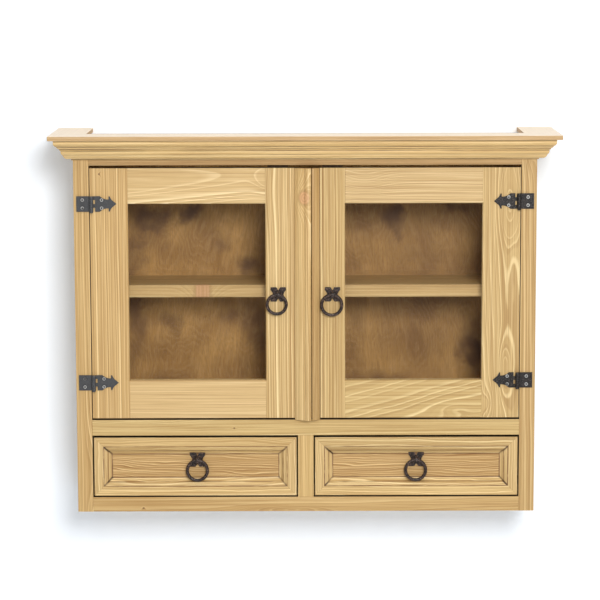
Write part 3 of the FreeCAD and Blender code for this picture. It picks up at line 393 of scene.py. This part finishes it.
def build_ply_skin():
    """Peeled veneer: contour lines of a slow swell, dark clouds of stain and short upright pores."""
    tree, given, result = shader_group(
        "ply_skin",
        [("Place", "Vector", None), ("Seed", "Float", 0.0), ("Stain", "Float", 0.0)],
        [("Color", "Color"), ("Roughness", "Float"), ("Height", "Float")],
    )
    light_ply, dark_ply, pale_line = (0.525, 0.290, 0.079, 1), (0.30, 0.150, 0.036, 1), (0.62, 0.385, 0.15, 1)
    walnut, pore, dark_fibre = (0.085, 0.034, 0.012, 1), (0.12, 0.055, 0.018, 1), (0.16, 0.075, 0.024, 1)
    place, seed = given["Place"], given["Seed"]
    swell = mottle(tree, place, (9.0, 2.2, 5.0), seed, 1.5)
    ragged = mottle(tree, place, (90, 2.0, 45), seed, 2.0)
    contour = sums(tree, "MULTIPLY_ADD", swell, 30.0, sums(tree, "MULTIPLY", ragged, 1.6))
    contour = sums(tree, "FRACT", contour)
    line = product(tree, between(tree, contour, 0.30, 0.85), between(tree, contour, 0.86, 1.0, 1, 0))
    patch = mottle(tree, place, (7.0, 1.0, 7.5), sums(tree, "ADD", seed, 5.0), 3.0)
    cloud = sums(tree, "MAXIMUM", between(tree, patch, 0.54, 0.66, 0.0, 0.75), given["Stain"])
    breaks = mottle(tree, place, (38, 1, 30), sums(tree, "ADD", seed, 7.0), 4.0)
    cloud = product(tree, cloud, between(tree, breaks, 0.30, 0.62, 0.55, 1.0))
    soft_cloud = between(tree, mottle(tree, place, (11, 1, 9), sums(tree, "ADD", seed, 8.0), 4.0), 0.36, 0.7)
    pores = between(tree, mottle(tree, place, (620, 1, 70), seed, 1.0), 0.50, 0.66)
    fibre = mottle(tree, place, (420, 1, 18), sums(tree, "ADD", seed, 2.0), 3.0)
    color = tint(tree, soft_cloud, light_ply, dark_ply)
    color = tint(tree, product(tree, line, 0.30), color, pale_line)
    color = tint(tree, cloud, color, walnut)
    color = tint(tree, product(tree, pores, 0.40), color, pore)
    color = tint(tree, between(tree, fibre, 0.35, 0.65, 0.28, 0.0), color, dark_fibre)
    tree.links.new(color, result["Color"])
    tree.links.new(between(tree, fibre, 0.2, 0.8, 0.62, 0.5), result["Roughness"])
    tree.links.new(sums(tree, "MULTIPLY_ADD", pores, -0.6, fibre), result["Height"])
    return tree


PLY_SKIN = build_ply_skin()


def ply_sheet(nodes, seed, blots=()):
    """Dresses nodes in one stained plywood.

    Each blot is a darker place on the sheet, by its middle, its reach and its depth."""
    material, tree, shader = new_material(f"ply_{nodes[0]}")
    place = feed(tree, "TexCoord").outputs["Object"]
    parts = feed(tree, "SeparateXYZ", {0: place}).outputs
    face_place = feed(tree, "CombineXYZ", {0: parts["X"], 1: parts["Z"]}).outputs[0]
    edge_wander = 0.11
    ragged = mottle(tree, place, (17, 1, 17), seed + 3.0, 4.0)
    ragged = sums(tree, "MULTIPLY_ADD", ragged, edge_wander, -edge_wander / 2)
    wavy_place = vectors(tree, "ADD", face_place, feed(tree, "CombineXYZ", {0: ragged, 1: ragged}).outputs[0])
    stain = 0.0
    for middle, size, depth in blots:
        blot = placed(tree, PINE_FLAME, place=wavy_place, middle=(*middle, 0), reach=(*size, 1), lift=depth)
        stain = sums(tree, "MAXIMUM", stain, blot[0])
    if blots:
        stain = between(tree, stain, 0.12, 0.80, 0.0, 0.95)
    out = placed(tree, PLY_SKIN, place=place, seed=seed, stain=stain)
    finish_wood(tree, shader, out["Color"], out["Roughness"], out["Height"], 0.00012)
    for node in nodes:
        dress(node, material)


ply_sheet(
    ("back_panel", "hanging_rail"), 2.0,
    (
        ((-0.318, 0.564), (0.043, 0.038), 0.95),
        ((-0.234, 0.585), (0.036, 0.016), 0.80),
        ((-0.345, 0.520), (0.034, 0.034), 0.65),
        ((-0.118, 0.472), (0.036, 0.032), 0.70),
        # This tall blot and the one at 0.105 make the back darker along the left edge of each window.
        ((-0.352, 0.420), (0.026, 0.240), 0.62),
        ((0.178, 0.560), (0.034, 0.038), 0.95),
        ((0.205, 0.546), (0.020, 0.018), 0.65),
        ((0.105, 0.420), (0.034, 0.300), 0.46),
        ((0.345, 0.292), (0.036, 0.055), 0.90),
        ((0.300, 0.520), (0.060, 0.014), 0.35),
        ((0.240, 0.430), (0.190, 0.280), 0.48),
    ),
)
for number, side in enumerate(("left", "right")):
    ply_sheet((f"drawer_{side}_bottom",), 4.0 + number)

# Cornice
# Three mitred boards lie on three mitred lengths of machined crown moulding, which are nailed to the
# carcass. The dark lines in the quirks of the moulding are partly settled stain and partly painted shade,
# and the tops of the boards are painted paler as painted sheen.


def flat_board(node, axes, seed):
    """Dresses a flat board of the cornice, whose top is painted paler as painted sheen and light from above.
    """
    low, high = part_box(node)
    top_sheen_pine = (0.93, 0.84, 0.70, 1)
    material, tree, shader = new_material(f"pine_{node}")
    place = board_place(tree, tuple((low + high) / 2), axes)
    out = board_grain(
        tree, place, (-0.09, -0.03), 0.0050, seed, lines=0.3, dark=0.08, tone=(0.96, 0.93, 1.02)
    )
    height = feed(tree, "SeparateXYZ", {0: feed(tree, "TexCoord").outputs["Object"]}).outputs["Z"]
    # Painted sheen: the top of the board is paler, as light from above and a grazing shine.
    painted_top_sheen = between(tree, height, high.z - 0.0012, high.z - 0.0002, 0.0, 0.56)
    color = tint(tree, painted_top_sheen, out["Color"], top_sheen_pine)
    finish_wood(tree, shader, color, out["Roughness"], out["Height"])
    dress(node, material, 0.001)


flat_board("cornice_board_front", FLATWAYS, 20.0)
for number, side in enumerate(("left", "right")):
    flat_board(f"cornice_board_{side}", "YXZ", 22.0 + number)

# Each quirk's rise above the one below it, and how dark its line is, partly wax and partly painted shade.
QUIRKS = ((0.0030, 0.85), (0.0089, 0.55), (0.0079, 0.80), (0.0036, 0.70), (0.0047, 0.80), (0.0124, 0.9))


def moulding(node, axes, seed):
    """Dresses a length of crown moulding, with a dark line in each quirk below the boards, partly wax and
    partly painted shade.
    """
    low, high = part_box(node)
    quirk_wax_and_shade, half_quirk, quirk_reach = (0.13, 0.055, 0.018, 1), 0.0005, 0.0011
    material, tree, shader = new_material(f"pine_{node}")
    place = board_place(tree, tuple((low + high) / 2), axes)
    out = board_grain(
        tree, place, (0.09, 0.03), 0.0052, seed, lines=0.8, wander=0.006, dark=0.45, tone=(1.30, 1.34, 1.36)
    )
    height = feed(tree, "SeparateXYZ", {0: feed(tree, "TexCoord").outputs["Object"]}).outputs["Z"]
    patchy = between(tree, mottle(tree, place, (9, 40, 40), seed + 1.0, 3.0), 0.32, 0.6, 0.35, 1.0)
    color, level = out["Color"], low.z
    # A dark line in each quirk, partly wax and partly painted shade.
    for rise, dark in QUIRKS:
        level += rise
        amount = product(tree, near(tree, height, level - half_quirk, quirk_reach, dark), patchy)
        color = tint(tree, amount, color, quirk_wax_and_shade)
    finish_wood(tree, shader, color, out["Roughness"], out["Height"])
    dress(node, material, 0.0004)


moulding("cornice_moulding_front", LEVEL, 21.0)
for number, side in enumerate(("left", "right")):
    moulding(f"cornice_moulding_{side}", "YZX", 24.0 + number)

# Doors
# Each is a tenoned frame of 20 mm pine round one pane, which nailed beads hold in its rabbet from behind.
# The meeting mouldings are planted on the lock stiles: the left one holds the reed.


def door_edges(side):
    """The box round a whole door, all of whose edges face a gap."""
    low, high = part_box(f"door_{side}_hinge_stile")
    lock_low, lock_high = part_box(f"door_{side}_lock_stile")
    kept_low = (min(low.x, lock_low.x), low.y, low.z)
    return kept_low, (max(high.x, lock_high.x), high.y, high.z)


LEFT_DOOR, RIGHT_DOOR = door_edges("left"), door_edges("right")
pine_board(
    "door_left_hinge_stile", UPRIGHT, (-0.14, 0.02), 0.0058, 30.0, lean=(0.004, 0), wander=0.006,
    lines=0.9, dark=1.0, tone=(1.05, 1.01, 0.95), gaps=LEFT_DOOR, knot=(0.2375, -0.018, 0.0028),
)
pine_board(
    "door_left_lock_stile", UPRIGHT, (0.14, 0.03), 0.0054, 31.0, lean=(0.006, 0), wander=0.006,
    lines=1.1, dark=0.8, tone=(1.04, 1.04, 1.01), gaps=LEFT_DOOR,
    flames=(((0.20, -0.035), (0.07, 0.016), -0.005),),
)
pine_board(
    "door_left_top_rail", LEVEL, (0.0178, 0.0393), 0.0060, 32.0, lean=(-0.058, -0.035), wander=0.004,
    lines=0.95, dark=0.25, tone=(1.16, 1.20, 1.28), gaps=LEFT_DOOR,
    flames=(((0.144, 0.0086), (0.026, 0.030), -0.012),),
)
pine_board(
    "door_left_bottom_rail", LEVEL, (0.14, 0.03), 0.0032, 33.0, wander=0.006,
    lines=0.32, dark=0.2, cloudy=0.2, tone=(1.14, 1.16, 1.22), gaps=LEFT_DOOR,
)
pine_board(
    "door_right_hinge_stile", UPRIGHT, (0.024, 0.030), 0.0052, 34.0, lean=(0.015, 0.02), wander=0.012,
    lines=1.0, dark=0.5, tone=(1.01, 1.01, 0.97), gaps=RIGHT_DOOR,
    flames=(
        ((0.17, 0.016), (0.060, 0.020), -0.014), ((0.02, 0.024), (0.09, 0.010), 0.006),
        ((-0.15, 0.008), (0.055, 0.014), -0.016), ((-0.22, -0.022), (0.03, 0.012), 0.010),
    ),
)
pine_board(
    "door_right_lock_stile", UPRIGHT, (-0.14, 0.03), 0.0060, 35.0, lean=(0.004, 0), wander=0.007,
    lines=1.05, dark=1.0, tone=(0.98, 0.97, 0.90), gaps=RIGHT_DOOR,
)
pine_board(
    "door_right_top_rail", LEVEL, (-0.09, 0.03), 0.0040, 36.0, lean=(0.02, 0.0), wander=0.010,
    lines=0.7, dark=0.3, tone=(1.09, 1.12, 1.20), gaps=RIGHT_DOOR,
    flames=(((-0.10, 0.01), (0.05, 0.03), 0.014),),
)
pine_board(
    "door_right_bottom_rail", LEVEL, (0.16, 0.035), 0.0150, 37.0, lean=(-0.30, 0.06), wander=0.030,
    lines=0.8, dark=0.5, tone=(1.04, 1.07, 1.02), gaps=RIGHT_DOOR,
    flames=(((0.08, -0.02), (0.04, 0.016), 0.02),),
)
for number, side in enumerate(("left", "right")):
    pine_board(f"door_{side}_glazing_beads", UPRIGHT, (0.05, 0.03), 0.006, 38.0 + number, arris=0.0004)
pine_board(
    "door_left_meeting_moulding", UPRIGHT, (-0.035, 0.03), 0.0065, 40.0, arris=0.0004, lean=(0.01, 0.01),
    wander=0.010, lines=0.8, dark=0.5, tone=(1.16, 1.17, 1.17), knot=(0.1925, 0.003, 0.0185),
)
pine_board(
    "door_right_meeting_moulding", UPRIGHT, (0.09, 0.03), 0.005, 41.0, arris=0.0004,
    lines=0.6, tone=(0.90, 0.84, 0.76), gap_depth=0.0020,
    gaps=gap_edges("door_right_meeting_moulding", "left right"),
)

# Panes
# One pane of clear 3 mm float glass in each door, laid in the rabbet and held by the beads. Light passes
# through it mostly unbent, to what stands behind.
pane_glass, glass_tree, glass_shader = new_material("window_glass")
glass_shader.inputs["Base Color"].default_value = (0.97, 1.0, 0.985, 1)
glass_shader.inputs["Roughness"].default_value = 0.0
glass_shader.inputs["IOR"].default_value = 1.45
glass_shader.inputs["Specular IOR Level"].default_value = 0.12
glass_shader.inputs["Transmission Weight"].default_value = 1.0
ray = feed(glass_tree, "LightPath").outputs
straight_share = 0.82
unbent = sums(glass_tree, "MAXIMUM", ray["Is Shadow Ray"], ray["Is Diffuse Ray"])
unbent = sums(glass_tree, "MAXIMUM", unbent, straight_share)
lit_through = feed(glass_tree, "MixShader", {0: unbent})
glass_tree.links.new(glass_shader.outputs[0], lit_through.inputs[1])
glass_tree.links.new(feed(glass_tree, "BsdfTransparent").outputs[0], lit_through.inputs[2])
glass_tree.links.new(lit_through.outputs[0], glass_tree.nodes["Material Output"].inputs["Surface"])
for side in ("left", "right"):
    dress(f"door_{side}_glass", pane_glass)

# Drawers
# The front is a mitred frame of four moulded members round a sunk panel, with a plain pine box behind
# it. The quirks have dark lines, partly wax and partly painted shade, the mitres are darker at their
# inner corners, and painted shade lines the edge of the sunk panel.
BORDER, OVOLO, COVE = 0.01875, 0.00825, 0.008375  # how wide the member's flat and its two mouldings are


def rectangle_edges(tree, low, high):
    """Distances in from the upright and the level edges of a drawer front."""
    place = feed(tree, "TexCoord").outputs["Object"]
    parts = feed(tree, "SeparateXYZ", {0: place}).outputs
    distances = []
    for axis, index in (("X", 0), ("Z", 2)):
        middle = (low[index] + high[index]) / 2
        half = (high[index] - low[index]) / 2
        off = sums(tree, "ABSOLUTE", sums(tree, "SUBTRACT", parts[axis], middle))
        distances.append(sums(tree, "SUBTRACT", half, off))
    return place, distances


def drawer_frame(node, seed, over_shade):
    """Dresses the four members of a drawer frame. The grain turns at the mitres, and each member is toned by
    where it lies, the lower one lighter and the upper one darker, as painted light and shade from above.
    """
    quirk_wax_and_shade, mitre_corner_dark, mitre_line = (0.17, 0.072, 0.022, 1), (0.05, 0.02, 0.008, 1), (0.18, 0.08, 0.02, 1)
    low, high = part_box(node)
    material, tree, shader = new_material(f"pine_{node}")
    place, (from_side, from_level) = rectangle_edges(tree, low, high)
    middle = tuple((low + high) / 2)
    level = board_place(tree, middle, LEVEL)
    further_along = (0.5, 0.0, 0.0)
    upright = vectors(tree, "ADD", board_place(tree, middle, UPRIGHT), further_along)
    is_upright = sums(tree, "LESS_THAN", from_side, from_level)
    turned = feed(tree, "Mix", {0: is_upright, 4: level, 5: upright}, data_type="VECTOR").outputs[1]
    out = board_grain(
        tree, turned, (-0.12, 0.03), 0.0042, seed, lean=(0.01, 0.02), wander=0.034,
        lines=0.9, dark=0.45, tone=(1.07, 1.05, 1.00),
    )
    inward = sums(tree, "MINIMUM", from_side, from_level)
    patches = mottle(tree, place, (22, 22, 60), seed + 1.0, 3.0)
    is_over = sums(tree, "GREATER_THAN", feed(tree, "SeparateXYZ", {0: level}).outputs["Y"], 0.0)
    # Painted light and shade: the lower member is toned lighter and the upper one darker, as if lit from
    # above.
    under, beside = (1.09, 1.13, 1.16, 1), (1.02, 1.05, 1.09, 1)
    over = (over_shade, over_shade, over_shade * 0.96, 1)
    lit_member_tone = tint(tree, is_upright, tint(tree, is_over, under, over), beside)
    color = tint(tree, 1.0, out["Color"], lit_member_tone, "MULTIPLY")
    # The dark lines in the quirks are partly wax and partly painted shade.
    quirks = ((BORDER, 0.0016, 0.80), (BORDER + OVOLO, 0.0015, 0.60), (BORDER + OVOLO + COVE, 0.0018, 1.0))
    patchy = between(tree, patches, 0.3, 0.6, 0.35, 1.0)
    for quirk, reach, dark in quirks:
        color = tint(tree, product(tree, near(tree, inward, quirk, reach, dark), patchy), color, quirk_wax_and_shade)
    # The inner corners of the mitres are darker.
    off_mitre = sums(tree, "ABSOLUTE", sums(tree, "SUBTRACT", from_side, from_level))
    in_mould = between(tree, inward, BORDER - 0.001, BORDER + 0.001)
    corner = product(tree, between(tree, off_mitre, 0.0006, 0.0040, 1, 0), in_mould)
    corner = product(tree, corner, between(tree, patches, 0.38, 0.58, 0.45, 1.0))
    color = tint(tree, corner, color, mitre_corner_dark)
    color = tint(tree, between(tree, off_mitre, 0.0, 0.0006, 0.45, 0), color, mitre_line)
    # Painted shade on the edges of the front that face the gaps round the drawer.
    color = painted_gap_shade(tree, color, low, high)
    finish_wood(tree, shader, color, out["Roughness"], out["Height"])
    dress(node, material, 0.0005)


def drawer_panel(node, seed, lean):
    """Dresses a sunk panel, with a dark line of painted shade along its edge at the groove."""
    panel_edge_shade, in_groove, line_width = (0.10, 0.04, 0.014, 1), 0.0056, 0.0016
    low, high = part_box(node)
    material, tree, shader = new_material(f"pine_{node}")
    place, (from_side, from_level) = rectangle_edges(tree, low, high)
    level = board_place(tree, tuple((low + high) / 2), LEVEL)
    out = board_grain(
        tree, level, (0.09, 0.02), 0.0042, seed, lean=lean, wander=0.050,
        lines=1.0, dark=1.0, cloudy=0.9, tone=(0.94, 0.87, 0.77),
    )
    inward = sums(tree, "MINIMUM", from_side, from_level)
    patches = mottle(tree, place, (18, 18, 40), seed + 1.0, 3.0)
    # Painted shade: a dark line along the panel's edge where it goes into the groove.
    dark = between(tree, inward, in_groove, in_groove + line_width, 1, 0)
    dark = product(tree, dark, between(tree, patches, 0.3, 0.6, 0.5, 0.95))
    color = tint(tree, dark, out["Color"], panel_edge_shade)
    finish_wood(tree, shader, color, out["Roughness"], out["Height"])
    dress(node, material)


for number, (side, over_shade, panel_lean) in enumerate((("left", 0.95, 0.03), ("right", 0.87, -0.02))):
    drawer_frame(f"drawer_{side}_front_frame", 50.0 + number, over_shade)
    drawer_panel(f"drawer_{side}_front_panel", 52.0 + number, (panel_lean, 0.0))
    pine_board(f"drawer_{side}_box", "YZX", (0.03, 0.06), 0.006, 54.0 + number, lines=0.4)

# Hinges
# Arrowhead butt hinges of sheet iron, with interleaved rolled knuckles and a headed pin. They are
# blackened and rough from the forge, and the left pair is painted a little greyer as painted reflected light.


def build_iron_skin():
    """Blackened iron: scale in patches, hammer marks, and a greyer tint that paints reflected light."""
    tree, given, result = shader_group(
        "iron_skin",
        [("Place", "Vector", None), ("Seed", "Float", 0.0), ("Grey", "Float", 0.0)],
        [("Color", "Color"), ("Roughness", "Float"), ("Height", "Float")],
    )
    black, brown_black = (0.005, 0.0038, 0.003, 1), (0.021, 0.0155, 0.012, 1)
    worn_scale, glint_grey = (0.125, 0.090, 0.068, 1), (0.095, 0.090, 0.082, 1)
    place, seed = given["Place"], given["Seed"]
    bloom = mottle(tree, place, (140, 140, 140), seed, 4.0)
    scale = mottle(tree, place, (430, 430, 430), seed, 4.0)
    hammer = mottle(tree, place, (260, 260, 260), sums(tree, "ADD", seed, 4.0), 1.5)
    color = tint(tree, between(tree, bloom, 0.35, 0.65), black, brown_black)
    color = tint(tree, between(tree, scale, 0.50, 0.64, 0.0, 0.65), color, worn_scale)
    color = tint(tree, given["Grey"], color, glint_grey)
    tree.links.new(color, result["Color"])
    tree.links.new(between(tree, scale, 0.3, 0.7, 0.50, 0.26), result["Roughness"])
    tree.links.new(sums(tree, "MULTIPLY_ADD", scale, 0.25, hammer), result["Height"])
    return tree


IRON_SKIN = build_iron_skin()


def iron(name, seed, tone, depth, left_glint_share=0.0):
    """A blackened iron material, painted greyer on the left of the cabinet by the given share, as painted
    reflected light.
    """
    material, tree, shader = new_material(name)
    place = feed(tree, "TexCoord").outputs["Object"]
    to_right = feed(tree, "SeparateXYZ", {0: place}).outputs["X"]
    # Painted reflected light: the iron is greyer on the left of the cabinet.
    grey = between(tree, to_right, -0.1, 0.1, left_glint_share, 0.0)
    out = placed(tree, IRON_SKIN, place=place, seed=seed, grey=grey)
    bump = feed(tree, "Bump", {"Height": out["Height"], "Strength": 0.9, "Distance": depth})
    tree.links.new(tint(tree, 1.0, out["Color"], (*tone, 1), "MULTIPLY"), shader.inputs["Base Color"])
    tree.links.new(out["Roughness"], shader.inputs["Roughness"])
    tree.links.new(bump.outputs[0], shader.inputs["Normal"])
    shader.inputs["Specular IOR Level"].default_value = 0.3
    return material


hinge_iron = iron("hinge_iron", 1.0, (0.88, 0.96, 1.10), 0.0007, left_glint_share=0.6)
for node in ("hinge_leaves_frame", "door_left_hinge_leaves", "door_right_hinge_leaves"):
    dress(node, hinge_iron, 0.0003)
dress("hinge_pins", hinge_iron, 0.0004)

# Hinge screws
# Round-headed steel screws, drawn up tight on the leaves. Their rims are rubbed bright, and the driving
# recesses are painted dark as painted shade.


def screw_skin(node, crown):
    """Bright worn steel, with painted shade where the recess goes in behind the crown of the heads."""
    bright, grey = (0.62, 0.61, 0.58, 1), (0.36, 0.35, 0.33, 1)
    dull_steel, recess_shade = (0.10, 0.095, 0.09, 1), (0.03, 0.026, 0.022, 1)
    material, tree, shader = new_material(f"steel_{node}")
    place = feed(tree, "TexCoord").outputs["Object"]
    parts = feed(tree, "SeparateXYZ", {0: place}).outputs
    worn = mottle(tree, place, (420, 420, 420), 3.0, 3.0)
    dull = between(tree, mottle(tree, place, (34, 34, 34), 8.0, 0.0), 0.56, 0.62)
    color = tint(tree, between(tree, worn, 0.3, 0.7), bright, grey)
    color = tint(tree, product(tree, dull, 0.8), color, dull_steel)
    # Painted shade in the driving recesses.
    in_recess = between(tree, parts["Y"], crown + 0.0003, crown + 0.0008)
    color = tint(tree, in_recess, color, recess_shade)
    tree.links.new(color, shader.inputs["Base Color"])
    tree.links.new(between(tree, worn, 0.3, 0.7, 0.34, 0.5), shader.inputs["Roughness"])
    tree.links.new(between(tree, in_recess, 0, 1, 0.7, 0.0), shader.inputs["Metallic"])
    dress(node, material, 0.0003)


for node in ("hinge_screws_frame", "door_left_hinge_screws", "door_right_hinge_screws"):
    screw_skin(node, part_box(node)[0].y)

# Ring pulls
# A forged four-lobed plate is drawn into an eye, and its stud goes through the wood. The ring is round
# bar, closed in the fire and blackened.
pull_iron = iron("pull_iron", 3.0, (1.55, 1.25, 1.20), 0.0011)
for owner in ("door_left", "door_right", "drawer_left", "drawer_right"):
    dress(f"{owner}_ring_plate", pull_iron, 0.0004)
    dress(f"{owner}_ring", pull_iron)

# Studio
# The cabinet hangs before a plain pale wall, over a plain pale floor, in broad soft light that comes
# a little from the right. Wall and floor show from their front only, and the wall is open behind the
# cabinet.


def paper(name, glow):
    """Pale paper without a pattern, with a little glow of its own, that shows from the front only."""
    material, tree, shader = new_material(name)
    shader.inputs["Base Color"].default_value = (0.865, 0.90, 0.94, 1)
    shader.inputs["Emission Color"].default_value = (1, 1, 1, 1)
    shader.inputs["Emission Strength"].default_value = glow
    shader.inputs["Roughness"].default_value = 0.9
    shader.inputs["Specular IOR Level"].default_value = 0.0
    shown = feed(tree, "MixShader", {0: feed(tree, "NewGeometry").outputs["Backfacing"]})
    tree.links.new(shader.outputs[0], shown.inputs[1])
    tree.links.new(feed(tree, "BsdfTransparent").outputs[0], shown.inputs[2])
    tree.links.new(shown.outputs[0], tree.nodes["Material Output"].inputs["Surface"])
    return material


def studio_plane(name, size, place, turn, material):
    """A big plain sheet that is staged round the cabinet."""
    bpy.ops.object.select_all(action="DESELECT")
    bpy.ops.mesh.primitive_plane_add(size=size, location=place, rotation=turn)
    sheet = bpy.context.active_object
    sheet.name = name
    sheet.data.materials.append(material)
    return sheet


def open_behind(sheet, size, half_height, half_width):
    """Cuts an opening in the middle of a sheet, behind the cabinet, so that light reaches its back.

    Seen from above, its upper edge shows as a thin line past the cabinet's top."""
    bpy.context.view_layer.objects.active = sheet
    bpy.ops.object.mode_set(mode="EDIT")
    bpy.ops.mesh.select_all(action="SELECT")
    bpy.ops.mesh.inset(thickness=size / 2 - half_height)
    bpy.ops.transform.resize(value=(half_width / half_height, 1, 1))
    bpy.ops.mesh.delete(type="FACE")
    bpy.ops.object.mode_set(mode="OBJECT")


paper_size, floor_level, wall_gap = 14.0, -0.9, 0.001
opening_half_width, opening_margin = 0.440, 0.012
middle_height = (cad_low.z + cad_high.z) / 2
studio_plane("studio_floor", paper_size, (0, 0, floor_level), (0, 0, 0), paper("floor_paper", 0.0))
wall_place = (0, cad_high.y + wall_gap, middle_height)
wall = studio_plane("studio_wall", paper_size, wall_place, (math.pi / 2, 0, 0), paper("wall_paper", 0.1))
open_behind(wall, paper_size, middle_height - opening_margin, opening_half_width)

world = bpy.data.worlds.new("studio_surround")
world.use_nodes = True
surround = world.node_tree.nodes["Background"]
surround.inputs["Color"].default_value = (1.0, 1.0, 1.0, 1)
surround.inputs["Strength"].default_value = 0.36
bpy.context.scene.world = world


def softbox(name, place, aim, size, power):
    """A square area light that faces a point."""
    lamp = bpy.data.lights.new(name, "AREA")
    lamp.shape = "SQUARE"
    lamp.size = size
    lamp.energy = power
    holder = bpy.data.objects.new(name, lamp)
    bpy.context.scene.collection.objects.link(holder)
    holder.location = place
    holder.rotation_mode = "QUATERNION"
    holder.rotation_quaternion = (Vector(aim) - Vector(place)).to_track_quat("-Z", "Y")


softbox("key", place=(0.82, -4.68, 2.10), aim=(0, 0, 0.4), size=1.4, power=168.0)
softbox("overhead", place=(0, -1.0, 3.2), aim=(0, 0, 0.75), size=2.0, power=24.0)
softbox("behind", place=(-1.2, 4.2, 1.6), aim=(0, 0, 0.4), size=2.0, power=130.0)

# The lens stands 4.78 m in front of the face frame, 0.36 m above the cabinet's top, and looks down
# by 8.15 degrees. It is turned a little clockwise, as in the photograph.
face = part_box("frame_header_rail")[0].y
image_side, focal_pixels, sensor = 600, 2450.0, 36.0
centre_column = 305.4
camera_data = bpy.data.cameras.new("lens")
camera_data.sensor_width = sensor
camera_data.lens = focal_pixels / image_side * sensor
camera_data.shift_x = (image_side / 2 - centre_column) / image_side
camera = bpy.data.objects.new("lens", camera_data)
bpy.context.scene.collection.objects.link(camera)
lens_distance, lens_rise = 4.7846, 0.3582
look_down, roll = math.radians(8.15), -0.0025
turn = Matrix.Rotation(math.pi / 2 - look_down, 4, "X") @ Matrix.Rotation(roll, 4, "Z")
camera.matrix_world = Matrix.Translation((0, face - lens_distance, cad_high.z + lens_rise)) @ turn
bpy.context.scene.camera = camera
bpy.context.scene.view_settings.view_transform = "Standard"
